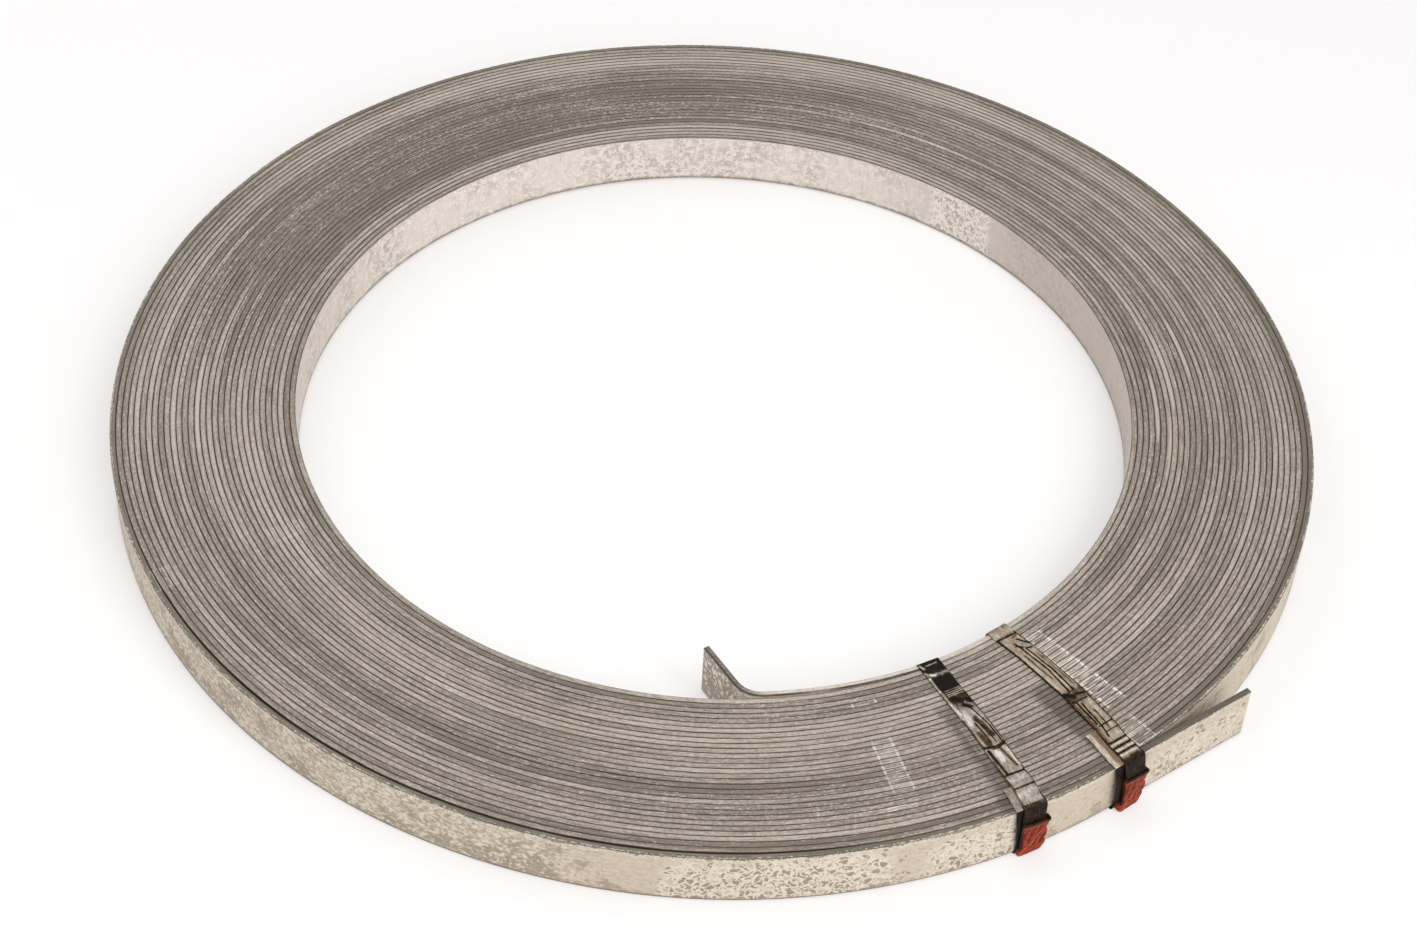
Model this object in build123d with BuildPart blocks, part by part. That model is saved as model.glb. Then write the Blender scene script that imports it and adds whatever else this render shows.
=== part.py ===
# Coil of galvanized earthing strip, held by two steel straps with crimped seals.
# Millimetres, +Z up. The origin is the centre of the coil, on the floor.
# Angles are in degrees, counter-clockwise from +X seen from above.
from build123d import *
import math
import os

# Flat strip
strip_width = 30.0
strip_thickness = 3.0
turns = 31
turn_gap = 0.1
coil_radius = 320.0
edge_stagger = 0.6

# Outer end of the strip, which leaves the coil in a straight line
outer_end_angle = -52.3
outer_end_length = 88.0
outer_end_inset = 0.05

# Inner end of the strip, bent into the bore
inner_end_angle = -82.0
inner_bend_radius = 14.0
inner_bend_turn = 64.0
inner_end_length = 27.0

# Steel strapping
strap_width = 12.7
strap_thickness = 0.5
strap_bend = 0.4
strap_clearance = 0.05
bore_clearance = 0.35
left_strap_angle = -60.3
right_strap_angle = -49.9
left_tab_reach = 14.0
right_tab_reach = 24.0
left_tab_skew = 4.0
right_tab_skew = 5.0
strap_end_overhang = 1.5

# Crimped seals
seal_length = 21.0
seal_width = 15.5
seal_thickness = 0.8
seal_bend = 0.9
seal_height = 2.5
seal_flange = 4.5
notch_depth = 1.2
notch_spacing = 9.0

# Sizes that follow from the ones above
pitch = strip_thickness + turn_gap
bore_radius = coil_radius - turns * pitch
coil_bottom = strap_thickness + strap_clearance
coil_top = coil_bottom + strip_width + edge_stagger
layer_step = strap_thickness + strap_clearance
bore_sagitta = bore_radius - math.sqrt(bore_radius**2 - (strap_width / 2) ** 2)
seal_top = seal_height + seal_length
notch_side = notch_depth * math.sqrt(2)
pocket_width = seal_width - 2 * seal_thickness
pocket_depth = 2 * layer_step + strap_clearance


def ridges(first_height, turns_per_face):
    """Points of an end of the ring, which rises and falls by the stagger from one boundary to the next."""
    boundaries = [*range(0, turns, turns_per_face), turns]
    return [
        (bore_radius + boundary * pitch, first_height + edge_stagger * (count % 2))
        for count, boundary in enumerate(boundaries)
    ]


def outward(angle):
    """Unit vector from the coil's centre towards an angle."""
    return Vector(math.cos(math.radians(angle)), math.sin(math.radians(angle)), 0)


def along(angle):
    """Unit vector along the turns at an angle, counter-clockwise."""
    return Vector(-math.sin(math.radians(angle)), math.cos(math.radians(angle)), 0)


def wall_face(angle):
    """Distance from the centre at which a seal clears the outermost strip at an angle."""
    past_departure = math.radians(max(angle - outer_end_angle, 0))
    lean = (seal_width / 2) * math.sin(past_departure)
    return (coil_radius + lean) / math.cos(past_departure)


# Strip coil: one turned ring, whose ends rise and fall from turn to turn
outer_end_start = outward(outer_end_angle) * (coil_radius - outer_end_inset)
inner_end_start = outward(inner_end_angle) * (bore_radius + strip_thickness / 2)
with BuildPart() as strip_coil:
    with BuildSketch(Plane.XZ):
        with BuildLine():
            underside = ridges(coil_bottom, 2)
            top_side = ridges(coil_bottom + strip_width, 1)
            Polyline(*underside, *reversed(top_side), close=True)
        make_face()
    revolve(axis=Axis.Z)
    outer_end_plane = Plane(
        origin=outer_end_start + Vector(0, 0, coil_bottom),
        x_dir=along(outer_end_angle),
        z_dir=(0, 0, 1),
    )
    with BuildSketch(outer_end_plane):
        Rectangle(outer_end_length, strip_thickness, align=(Align.MIN, Align.MIN))
    extrude(amount=strip_width)
    with BuildSketch(Plane.XY.offset(coil_bottom)):
        with BuildLine():
            bend = JernArc(
                start=inner_end_start,
                tangent=-along(inner_end_angle),
                radius=inner_bend_radius,
                arc_size=-inner_bend_turn,
            )
            Line(bend @ 1, bend @ 1 + (bend % 1) * inner_end_length)
        trace(line_width=strip_thickness)
    extrude(amount=strip_width)
strip_coil.part.label = "strip_coil"


def make_strap(angle, tab_reach, tab_skew):
    """Band drawn round the ring's section, its ends overlapping on the outer face."""
    section_plane = Plane(origin=(0, 0, 0), x_dir=outward(angle), z_dir=-along(angle))
    tab_plane = section_plane.offset(tab_skew)
    inner_leg = bore_radius - bore_sagitta - bore_clearance - strap_thickness / 2
    under_face = wall_face(angle) + seal_thickness + 2 * strap_clearance
    under_leg = under_face + strap_thickness / 2
    over_leg = under_leg + layer_step
    tab_height = coil_top + strap_clearance + strap_thickness / 2
    top_run = tab_height + layer_step
    tight_bend = strap_bend + strap_thickness / 2
    wide_bend = tight_bend + layer_step
    leg_top = tab_height - tight_bend
    with BuildPart() as strap:
        with BuildSketch(section_plane):
            with BuildLine():
                FilletPolyline(
                    (under_leg, seal_top),
                    (under_leg, strap_thickness / 2),
                    (inner_leg, strap_thickness / 2),
                    (inner_leg, top_run),
                    (over_leg, top_run),
                    (over_leg, seal_height - strap_end_overhang),
                    radius=(tight_bend, tight_bend, tight_bend, wide_bend),
                )
            trace(line_width=strap_thickness)
        extrude(amount=strap_width / 2, both=True)
        with BuildSketch(tab_plane):
            with BuildLine():
                FilletPolyline(
                    (coil_radius - tab_reach, tab_height),
                    (under_leg, tab_height),
                    (under_leg, leg_top - strap_thickness),
                    radius=tight_bend,
                )
            trace(line_width=strap_thickness)
        extrude(amount=strap_width / 2, both=True)
        leg_plane = Plane(
            origin=outward(angle) * under_face, x_dir=along(angle), z_dir=outward(angle)
        )
        with BuildSketch(leg_plane):
            Polygon(
                (-tab_skew - strap_width / 2, leg_top),
                (-strap_width / 2, seal_top),
                (strap_width / 2, seal_top),
                (-tab_skew + strap_width / 2, leg_top),
                align=None,
            )
        extrude(amount=strap_thickness)
    return strap


def make_seal(angle):
    """Folded sleeve round both layers of a strap, open at the back and notched."""
    seal_back = wall_face(angle) + strap_clearance
    seal_depth = pocket_depth + 2 * seal_thickness
    profile_plane = Plane(
        origin=outward(angle) * seal_back + Vector(0, 0, seal_height),
        x_dir=outward(angle),
        z_dir=(0, 0, 1),
    )
    notch_plane = Plane(
        origin=outward(angle) * seal_back + Vector(0, 0, seal_height + seal_length / 2),
        x_dir=along(angle),
        z_dir=outward(angle),
    )
    with BuildPart() as seal:
        with BuildSketch(profile_plane):
            RectangleRounded(seal_depth, seal_width, seal_bend, align=(Align.MIN, Align.CENTER))
            with Locations((seal_thickness, 0)):
                Rectangle(
                    pocket_depth,
                    pocket_width,
                    align=(Align.MIN, Align.CENTER),
                    mode=Mode.SUBTRACT,
                )
            Rectangle(
                seal_thickness,
                pocket_width - 2 * seal_flange,
                align=(Align.MIN, Align.CENTER),
                mode=Mode.SUBTRACT,
            )
        extrude(amount=seal_length)
        with BuildSketch(notch_plane):
            with GridLocations(seal_width, notch_spacing, 2, 2):
                Rectangle(notch_side, notch_side, rotation=45)
        extrude(amount=seal_depth, mode=Mode.SUBTRACT)
    return seal


strap_left = make_strap(left_strap_angle, left_tab_reach, left_tab_skew)
strap_left.part.label = "strap_left"
strap_right = make_strap(right_strap_angle, right_tab_reach, right_tab_skew)
strap_right.part.label = "strap_right"
seal_left = make_seal(left_strap_angle)
seal_left.part.label = "seal_left"
seal_right = make_seal(right_strap_angle)
seal_right.part.label = "seal_right"

os.makedirs("parts", exist_ok=True)
for piece in (strip_coil, strap_left, strap_right, seal_left, seal_right):
    export_step(piece.part, f"parts/{piece.part.label}.step")
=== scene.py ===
"""Looks of a coil of galvanized earthing strip: the wound strip, its two straps and their crimped seals."""
import logging
import math
from dataclasses import dataclass
from enum import Enum
from typing import Optional, Sequence, Union

import bpy
from mathutils import Matrix, Vector, noise


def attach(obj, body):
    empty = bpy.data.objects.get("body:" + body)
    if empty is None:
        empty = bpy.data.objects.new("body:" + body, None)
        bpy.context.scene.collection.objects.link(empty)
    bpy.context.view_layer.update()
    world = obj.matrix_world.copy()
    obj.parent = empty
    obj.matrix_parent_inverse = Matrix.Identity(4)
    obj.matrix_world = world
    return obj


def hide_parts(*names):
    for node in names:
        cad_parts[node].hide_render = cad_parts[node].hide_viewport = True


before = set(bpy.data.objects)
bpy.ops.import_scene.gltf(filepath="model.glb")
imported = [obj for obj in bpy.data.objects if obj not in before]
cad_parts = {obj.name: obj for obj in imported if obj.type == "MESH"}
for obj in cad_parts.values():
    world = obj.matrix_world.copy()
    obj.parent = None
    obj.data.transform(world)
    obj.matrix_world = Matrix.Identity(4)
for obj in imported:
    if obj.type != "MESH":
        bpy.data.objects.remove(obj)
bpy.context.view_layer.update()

LOG = logging.getLogger("earthing_strip_coil")

Colour = tuple[float, float, float]
Point2 = tuple[float, float]
Socket = bpy.types.NodeSocket

MM = 0.001
BODY = "root"
ARC_STEP = math.radians(12)
TINY = 1e-6


class Slot(Enum):
    """Names of the material slots."""

    ZINC = "zinc"
    STRAPPING = "strapping"
    SEAL_PAINT = "seal_paint"


def srgb(red: float, green: float, blue: float) -> Colour:
    """A colour given as it shows on screen, 0 to 255, in the linear values that shaders read."""

    def linear(level: float) -> float:
        """One channel made linear."""
        share = level / 255
        return share / 12.92 if share <= 0.04045 else ((share + 0.055) / 1.055) ** 2.4

    return (linear(red), linear(green), linear(blue))


@dataclass(frozen=True)
class Placing:
    """Where the coil lies: its true centre, from which angles and radii are counted."""

    centre_x: float = 0.8 * MM
    centre_y: float = 0.75 * MM

    def point(self, angle: float, radius: float, height: float = 0.0) -> Vector:
        """A point at an angle in degrees and a radius round the coil's centre."""
        turn = math.radians(angle)
        return Vector((
            self.centre_x + radius * math.cos(turn),
            self.centre_y + radius * math.sin(turn),
            height,
        ))

    @staticmethod
    def outward(angle: float) -> Vector:
        """The unit vector away from the centre at an angle in degrees."""
        return Vector((math.cos(math.radians(angle)), math.sin(math.radians(angle)), 0))

    @staticmethod
    def along(angle: float) -> Vector:
        """The unit vector along the turns at an angle in degrees, counter-clockwise."""
        return Vector((-math.sin(math.radians(angle)), math.cos(math.radians(angle)), 0))


PLACING = Placing()


@dataclass(frozen=True)
class Ramp:
    """A smooth change from bottom to top as a field goes from low to high."""

    low: float
    high: float
    bottom: float = 0.0
    top: float = 1.0


@dataclass(frozen=True)
class Pattern:
    """Soft noise: how many spots it has to a unit, how fine and rough they are, and how much they twist."""

    scale: float
    detail: float = 3.0
    roughness: float = 0.55
    twist: float = 0.0


class Field:
    """A value that nodes work out. Plain signs between fields and numbers add Math nodes."""

    def __init__(self, tree: "TreeBuilder", socket: Socket) -> None:
        """Keeps the socket that carries the value, and its tree."""
        self.tree = tree
        self.socket = socket

    def __add__(self, other: "Value") -> "Field":
        """This field plus another value."""
        return self.tree.math("ADD", self, other)

    def __radd__(self, other: float) -> "Field":
        """A number plus this field."""
        return self.tree.math("ADD", other, self)

    def __sub__(self, other: "Value") -> "Field":
        """This field minus another value."""
        return self.tree.math("SUBTRACT", self, other)

    def __rsub__(self, other: float) -> "Field":
        """A number minus this field."""
        return self.tree.math("SUBTRACT", other, self)

    def __mul__(self, other: "Value") -> "Field":
        """This field times another value."""
        return self.tree.math("MULTIPLY", self, other)

    def __abs__(self) -> "Field":
        """This field without its sign."""
        return self.tree.math("ABSOLUTE", self)

    def sway(self, weight: float) -> "Field":
        """How far a pattern is from its middle, times a weight."""
        return (self - 0.5) * weight

    def rise(self, ramp: Ramp) -> "Field":
        """This field put through a ramp."""
        inputs = {0: self, 1: ramp.low, 2: ramp.high, 3: ramp.bottom, 4: ramp.top}
        return self.tree.get("ShaderNodeMapRange", inputs, interpolation_type="SMOOTHSTEP")


Value = Union[float, Field]


class TreeBuilder:
    """Adds nodes to one node tree and joins them, with plain numbers or fields as inputs."""

    def __init__(self, tree: bpy.types.NodeTree) -> None:
        """Keeps the tree that the nodes go into."""
        self.tree = tree

    def add(self, kind: str, inputs: Optional[dict] = None, **settings: object) -> bpy.types.Node:
        """Adds a node.

        Args:
            kind: the node's type.
            inputs: values or fields by the input's name or number.
            settings: the node's own properties.

        Returns:
            The new node.
        """
        node = self.tree.nodes.new(kind)
        for name, value in settings.items():
            setattr(node, name, value)
        for key, value in (inputs or {}).items():
            self.feed(node.inputs[key], value)
        return node

    def get(self, kind: str, inputs: Optional[dict] = None, output: Union[int, str] = 0,
            **settings: object) -> Field:
        """Adds a node and returns one of its results.

        Args:
            kind: the node's type.
            inputs: values or fields by the input's name or number.
            output: the result's name or number.
            settings: the node's own properties.

        Returns:
            The result as a field.
        """
        return Field(self, self.add(kind, inputs, **settings).outputs[output])

    def feed(self, target: Socket, value: object) -> None:
        """Joins a field to an input, or sets the input to a value."""
        if isinstance(value, Field):
            self.tree.links.new(value.socket, target)
        elif isinstance(value, tuple) and target.type == "RGBA":
            target.default_value = (*value[:3], 1.0)
        else:
            target.default_value = value

    def math(self, operation: str, first: Value, second: Value = 0.0) -> Field:
        """The result of one Math node."""
        return self.get("ShaderNodeMath", {0: first, 1: second}, operation=operation)

    def held(self, value: Value, low: float, high: float) -> Field:
        """A value kept between two others."""
        return self.math("MINIMUM", self.math("MAXIMUM", value, low), high)

    def vector(self, x: Value, y: Value, z: Value) -> Field:
        """A vector from its three parts."""
        return self.get("ShaderNodeCombineXYZ", {0: x, 1: y, 2: z})

    def parts(self, vector: Field) -> tuple[Field, Field, Field]:
        """The three parts of a vector."""
        outputs = self.add("ShaderNodeSeparateXYZ", {0: vector}).outputs
        return Field(self, outputs[0]), Field(self, outputs[1]), Field(self, outputs[2])

    def vector_math(self, operation: str, first: object, second: object) -> Field:
        """The vector result of one Vector Math node, whose second input is a number where it scales."""
        key = "Scale" if operation == "SCALE" else 1
        return self.get("ShaderNodeVectorMath", {0: first, key: second}, operation=operation)


class FieldTree(TreeBuilder):
    """A Geometry Nodes tree with named inputs, run once on an object and then turned into its mesh."""

    def __init__(self, name: str) -> None:
        """Starts an empty tree with a geometry output."""
        super().__init__(bpy.data.node_groups.new(name, "GeometryNodeTree"))
        self.tree.interface.new_socket("Geometry", in_out="OUTPUT", socket_type="NodeSocketGeometry")
        self.group_input = self.tree.nodes.new("NodeGroupInput")
        self.values: dict[str, float] = {}

    def size(self, name: str, value: float) -> Field:
        """Adds a named number input.

        Args:
            name: the input's name.
            value: what the object's modifier sets it to.

        Returns:
            The field that carries it inside the tree.
        """
        item = self.tree.interface.new_socket(name, in_out="INPUT", socket_type="NodeSocketFloat")
        self.values[item.identifier] = value
        return Field(self, self.group_input.outputs[name])

    def store(self, geometry: Field, name: str, value: Field) -> Field:
        """Keeps a field on the points of a geometry as a named attribute."""
        inputs = {"Geometry": geometry, "Name": name, "Value": value}
        return self.get("GeometryNodeStoreNamedAttribute", inputs, data_type="FLOAT", domain="POINT")

    def finish(self, geometry: Field, material: bpy.types.Material) -> None:
        """Ends the tree in Realize Instances and Set Material."""
        solid = self.get("GeometryNodeRealizeInstances", {0: geometry})
        dressed = self.get("GeometryNodeSetMaterial", {"Geometry": solid, "Material": material})
        self.feed(self.tree.nodes.new("NodeGroupOutput").inputs[0], dressed)

    def mesh(self, name: str) -> bpy.types.Object:
        """Runs the tree and returns its result as a plain mesh object."""
        carrier = place_mesh(name + "_carrier", bpy.data.meshes.new(name + "_carrier"))
        modifier = carrier.modifiers.new(name, "NODES")
        modifier.node_group = self.tree
        for identifier, value in self.values.items():
            modifier[identifier] = value
        return place_mesh(name, evaluated_mesh(carrier))


def place_mesh(name: str, mesh: bpy.types.Mesh) -> bpy.types.Object:
    """Puts a mesh into the scene as an object at the origin."""
    mesh.name = name
    piece = bpy.data.objects.new(name, mesh)
    bpy.context.scene.collection.objects.link(piece)
    return piece


def evaluated_mesh(carrier: bpy.types.Object) -> bpy.types.Mesh:
    """The plain mesh that an object's modifier makes. The object and its modifier are removed."""
    evaluated = carrier.evaluated_get(bpy.context.evaluated_depsgraph_get())
    mesh = bpy.data.meshes.new_from_object(evaluated)
    carrier.modifiers.clear()
    bpy.data.objects.remove(carrier)
    return mesh


def hand_over(piece: bpy.types.Object, node: str) -> bpy.types.Object:
    """Hides the CAD node that a finished piece stands for and puts the piece on its body."""
    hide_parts(node)
    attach(piece, BODY)
    return piece


class ShaderTree(TreeBuilder):
    """The nodes of one material, with short calls for its patterns."""

    def __init__(self, name: str) -> None:
        """Starts a material with a Principled shader."""
        self.material = bpy.data.materials.new(name)
        self.material.use_nodes = True
        super().__init__(self.material.node_tree)
        self.shader = self.tree.nodes["Principled BSDF"]
        self.position = self.get("ShaderNodeTexCoord", output="Object")

    def noise(self, vector: Field, pattern: Pattern, result: str = "Fac") -> Field:
        """A pattern's noise from 0 to 1 along a vector, as one value or as a colour."""
        inputs = {"Vector": vector, "Scale": pattern.scale, "Detail": pattern.detail,
                  "Roughness": pattern.roughness, "Distortion": pattern.twist}
        return self.get("ShaderNodeTexNoise", inputs, result)

    def stretched(self, vector: Field, along: float, across: float = 1.0) -> Field:
        """A vector along which patterns come out longer."""
        return self.vector_math("MULTIPLY", vector, (along, across, 1.0))

    def mix(self, share: Value, first: object, second: object) -> Field:
        """A colour between two others."""
        return self.get("ShaderNodeMix", {0: share, 6: first, 7: second}, 2, data_type="RGBA")

    def cover(self, under: object, over: object, field: Field, ramp: Ramp) -> Field:
        """A colour covered by another as far as a ramp makes of a field."""
        return self.mix(field.rise(ramp), under, over)

    def attribute(self, name: str) -> Field:
        """A number stored on the mesh."""
        return self.get("ShaderNodeAttribute", output="Fac", attribute_name=name)

    def finish(self, colour: Field, roughness: Value, relief: Field, depth: float, strength: float,
               **plain: float) -> bpy.types.Material:
        """Joins the results to the shader.

        Args:
            colour: the surface's colour.
            roughness: its roughness.
            relief: the pattern of its fine relief.
            depth: how deep the relief is, in metres.
            strength: how strongly the relief shows.
            plain: settings of the shader that are the same everywhere, with _ for each space in a name.

        Returns:
            The finished material.
        """
        bent = self.get("ShaderNodeBump", {"Height": relief, "Distance": depth, "Strength": strength})
        for name, value in (("Base Color", colour), ("Roughness", roughness), ("Normal", bent)):
            self.feed(self.shader.inputs[name], value)
        for name, value in plain.items():
            self.shader.inputs[name.replace("_", " ")].default_value = value
        return self.material


@dataclass(frozen=True)
class StripFields:
    """What the zinc's nodes know of a place on the strip, lengths in metres and the angle in radians."""

    along: Field
    across: Field
    turns: Field
    angle: Field
    radius: Field
    height: Field
    flat: Field
    fine: Field

    @classmethod
    def read(cls, tree: ShaderTree, fine: Pattern) -> "StripFields":
        """Reads the fields of a material on the strip.

        Args:
            tree: the material's nodes.
            fine: the pattern of the finest spots.

        Returns:
            The fields.
        """
        x, y, height = tree.parts(tree.position)
        east = x - PLACING.centre_x
        north = y - PLACING.centre_y
        along = tree.attribute("along")
        flat = tree.vector(along, height, 0.0)
        return cls(
            along, tree.attribute("across"), tree.attribute("turns"), tree.math("ARCTAN2", north, east),
            tree.math("SQRT", east * east + north * north), height, flat, tree.noise(flat, fine),
        )

    def facing(self, angle: float) -> Field:
        """The cosine of how far a place lies round the coil from an angle in degrees."""
        return self.angle.tree.math("COSINE", self.angle - math.radians(angle))


@dataclass(frozen=True)
class StrapPrint:
    """Pale broken lines, with scuffs between them, where a strap once lay, in degrees and metres."""

    first: float
    second: float
    inner: float
    outer: float
    lines: float
    scuffs: float
    fade: float = 1 * MM
    line_from: float = 0.3 * MM
    line_to: float = 0.7 * MM
    scuffs_past: float = 1.15

    def share(self, tree: ShaderTree, at: StripFields, wander: Field, broken: Field, scuff: Field) -> Field:
        """How much of the print shows.

        Args:
            tree: the material's nodes.
            at: the place on the strip.
            wander: how far the lines stray from their angles.
            broken: where the lines are whole.
            scuff: where the ridges between them are scuffed.

        Returns:
            The print's share of the colour.
        """
        half = math.radians(abs(self.second - self.first) / 2)
        off = abs(at.angle - math.radians((self.first + self.second) / 2))
        line = abs(off - half) * at.radius + wander
        line = line.rise(Ramp(self.line_from, self.line_to, self.lines, 0.0)) * broken
        inside = off.rise(Ramp(half, half * self.scuffs_past, self.scuffs, 0.0))
        starts = at.radius.rise(Ramp(self.inner - self.fade, self.inner))
        stops = at.radius.rise(Ramp(self.outer, self.outer + self.fade, 1.0, 0.0))
        return tree.math("MAXIMUM", line, inside * scuff) * (starts * stops)


@dataclass(frozen=True)
class StrapShadow:
    """Painted shadow beside a strap, on the ridges to its left: the strap's angle in degrees, its reach to
    the left and inner radius in metres.
    """

    angle: float
    reach: float
    inner: float
    amount: float
    fade: float = 3 * MM
    strap_side: float = 2 * MM
    inner_fade: float = 4 * MM
    raggedness: float = 16 * MM

    def share(self, at: StripFields, streak: Field) -> Field:
        """The painted shadow's share of the colour, with an edge as ragged as the streaks."""
        off = (at.angle - math.radians(self.angle)) * at.radius + streak.sway(self.raggedness)
        near = off.rise(Ramp(-self.reach - self.fade, -self.reach, 0.0, self.amount))
        near = near * off.rise(Ramp(0.0, self.strap_side, 1.0, 0.0))
        return near * at.radius.rise(Ramp(self.inner - self.inner_fade, self.inner + self.inner_fade))


@dataclass(frozen=True)
class Shade:
    """A soft lighter or darker stretch of the turns, round an angle in degrees and a radius in metres."""

    angle: float
    spread: float
    radius: float
    width: float
    tone: float

    def share(self, at: StripFields) -> Field:
        """How much lighter or darker the stretch makes a place."""
        near = at.facing(self.angle).rise(Ramp(math.cos(math.radians(self.spread)), 1.0))
        return near * abs(at.radius - self.radius).rise(Ramp(0.0, self.width, self.tone, 0.0))


@dataclass(frozen=True)
class EdgeFinish:
    """Zinc on the strip's edges, the ridges of the coil: dull grey with bright specks, some of them painted
    glints, painted shade on the ridges' sides and in the gaps, and painted shadow beside the straps.
    """

    dark: Colour = srgb(110, 100, 88)
    light: Colour = srgb(181, 171, 158)
    # Painted shade on the ridges' rounded sides.
    side_shade: Colour = srgb(84, 75, 63)
    # Pale specks, also used for painted glints on the ridge corners.
    speck: Colour = srgb(222, 214, 202)
    # Painted shade, for the gaps between the turns and beside the straps.
    painted_shade: Colour = srgb(58, 49, 39)
    olive: Colour = srgb(92, 86, 70)
    chip: Colour = srgb(215, 205, 190)
    cut: Colour = srgb(84, 76, 66)
    streaks: Pattern = Pattern(1100.0, 4.0, 0.65)
    streak_stretch: float = 0.08
    grains: Pattern = Pattern(850.0, 4.0, 0.85)
    grain_stretch: float = 0.5
    runs: Pattern = Pattern(6.0, 5.0, 0.6)
    lengths: Pattern = Pattern(0.9, 2.0, 0.5)
    clouds: Pattern = Pattern(9.0, 3.0, 0.55)
    burnishes: Pattern = Pattern(13.0, 2.0, 0.5)
    burnish_across: float = 120.0
    slacks: Pattern = Pattern(11.0, 3.0, 0.6)
    slack: float = 0.7 * MM
    grain_gap: float = 0.3 * MM
    depths: Pattern = Pattern(16.0, 4.0, 0.65)
    jumps: Pattern = Pattern(420.0, 2.0, 0.6)
    breaks: Pattern = Pattern(300.0, 3.0, 0.7)
    print_stretch: float = 0.02
    print_jump: float = 3.2 * MM
    print_grain: float = 1.4 * MM
    tone_range: Ramp = Ramp(-0.62, 0.6)
    softer_in_front: Ramp = Ramp(-0.95, -0.4, 0.5, 1.0)
    rounded: Ramp = Ramp(0.3 * MM, 1.5 * MM, 0.0, 0.5)
    corner: Ramp = Ramp(0.5 * MM, 1.1 * MM)
    specked: Ramp = Ramp(0.58, 0.68, 0.0, 0.7)
    burnished: Ramp = Ramp(0.68, 0.76, 0.0, 0.45)
    last_turn: Ramp = Ramp(30.06, 30.08)
    weathered: Ramp = Ramp(0.35, 0.7, 0.85, 0.5)
    outer_end: Ramp = Ramp(30.99, 31.02, 0.0, 0.55)
    chip_across: float = 260.0
    chipped: Ramp = Ramp(0.26, 0.36, 0.0, 0.9)
    cut_end: Ramp = Ramp(31.078, 31.082, 0.0, 0.85)
    bent_end: Ramp = Ramp(27 * MM, 42 * MM, 0.85, 0.0)
    bent_grain: Ramp = Ramp(0.45, 0.6, 1.0, 0.6)
    bright_from: Ramp = Ramp(36 * MM, 48 * MM)
    bright_to: Ramp = Ramp(100 * MM, 260 * MM, 1.0, 0.0)
    bright_share: Ramp = Ramp(0.4, 0.5, 0.35, 0.8)
    scuffed: Ramp = Ramp(0.54, 0.64)
    whole_lines: Ramp = Ramp(0.38, 0.52)
    opens: Ramp = Ramp(30.8, 30.88)
    closes: Ramp = Ramp(30.94, 31.02, 1.0, 0.0)
    opened_side: Ramp = Ramp(-0.2 * MM, 0.2 * MM, 0.5 * MM, 0.0)
    bowed_part: Ramp = Ramp(0.03, 0.1, 1.0, 0.0)
    bowed_side: Ramp = Ramp(0.2 * MM, 0.8 * MM, 0.0, 0.9 * MM)
    gap_depth: Ramp = Ramp(0.32, 0.6, 0.5, 1.0)
    gap: Ramp = Ramp(1.08 * MM, 1.4 * MM)
    prints: tuple[StrapPrint, ...] = (
        StrapPrint(-71.5, -69.5, 0.2594, 0.2910, 0.7, 0.45),
        StrapPrint(-71.9, -69.1, 0.2335, 0.2362, 0.7, 0.5),
        StrapPrint(-72.6, -70.0, 0.2992, 0.3012, 0.3, 0.8),
        StrapPrint(-47.7, -45.5, 0.2340, 0.2905, 1.0, 0.85),
        StrapPrint(-48.8, -46.8, 0.3015, 0.3170, 0.6, 0.6),
        StrapPrint(-62.0, -61.5, 0.2620, 0.2830, 0.7, 0.9),
        StrapPrint(-149.9, -147.7, 0.2380, 0.2560, 0.2, 0.4),
        StrapPrint(-149.4, -146.9, 0.3080, 0.3180, 0.2, 0.5),
    )
    # Painted shadows beside the straps.
    strap_shadows: tuple[StrapShadow, ...] = (
        StrapShadow(-60.3, 11.0 * MM, 0.250, 0.6),
        StrapShadow(-60.3, 14.5 * MM, 0.305, 0.6),
        StrapShadow(-49.9, 12.0 * MM, 0.262, 0.65),
    )
    shades: tuple[Shade, ...] = (
        Shade(-100.0, 170.0, 0.2800, 0.0100, -0.22),
        Shade(-110.0, 90.0, 0.2500, 0.0160, 0.12),
        Shade(0.0, 180.0, 0.3135, 0.0050, -0.45),
        Shade(-90.0, 180.0, 0.3135, 0.0050, -0.35),
        Shade(75.0, 60.0, 0.3050, 0.0180, 0.3),
        Shade(138.0, 52.0, 0.2640, 0.0400, -0.95),
        Shade(90.0, 60.0, 0.2580, 0.0120, -0.2),
        Shade(85.0, 40.0, 0.2730, 0.0150, -0.3),
        Shade(85.0, 60.0, 0.2290, 0.0080, 0.25),
        Shade(100.0, 70.0, 0.2450, 0.0060, -0.25),
        Shade(-95.0, 85.0, 0.2860, 0.0300, -0.24),
        Shade(-150.0, 70.0, 0.3040, 0.0060, -0.2),
        Shade(110.0, 90.0, 0.2300, 0.0120, 0.15),
        Shade(10.0, 60.0, 0.2500, 0.0300, -0.08),
        Shade(95.0, 45.0, 0.2500, 0.0018, -0.7),
        Shade(95.0, 45.0, 0.2398, 0.0016, -0.8),
        Shade(95.0, 45.0, 0.2345, 0.0025, 0.4),
        Shade(8.0, 8.0, 0.2454, 0.0016, 1.3),
        Shade(1.0, 8.0, 0.2358, 0.0016, 1.1),
        Shade(-7.0, 7.0, 0.2432, 0.0016, 1.1),
        Shade(12.0, 6.0, 0.2580, 0.0016, 1.0),
        Shade(173.0, 12.0, 0.2670, 0.0022, 0.9),
        Shade(-172.0, 10.0, 0.2740, 0.0022, 0.7),
    )
    specks: tuple[Shade, ...] = (
        Shade(140.0, 55.0, 0.2700, 0.0450, 0.055),
        Shade(85.0, 40.0, 0.2560, 0.0200, 0.05),
        Shade(-75.0, 25.0, 0.2960, 0.0120, 0.04),
    )

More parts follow.
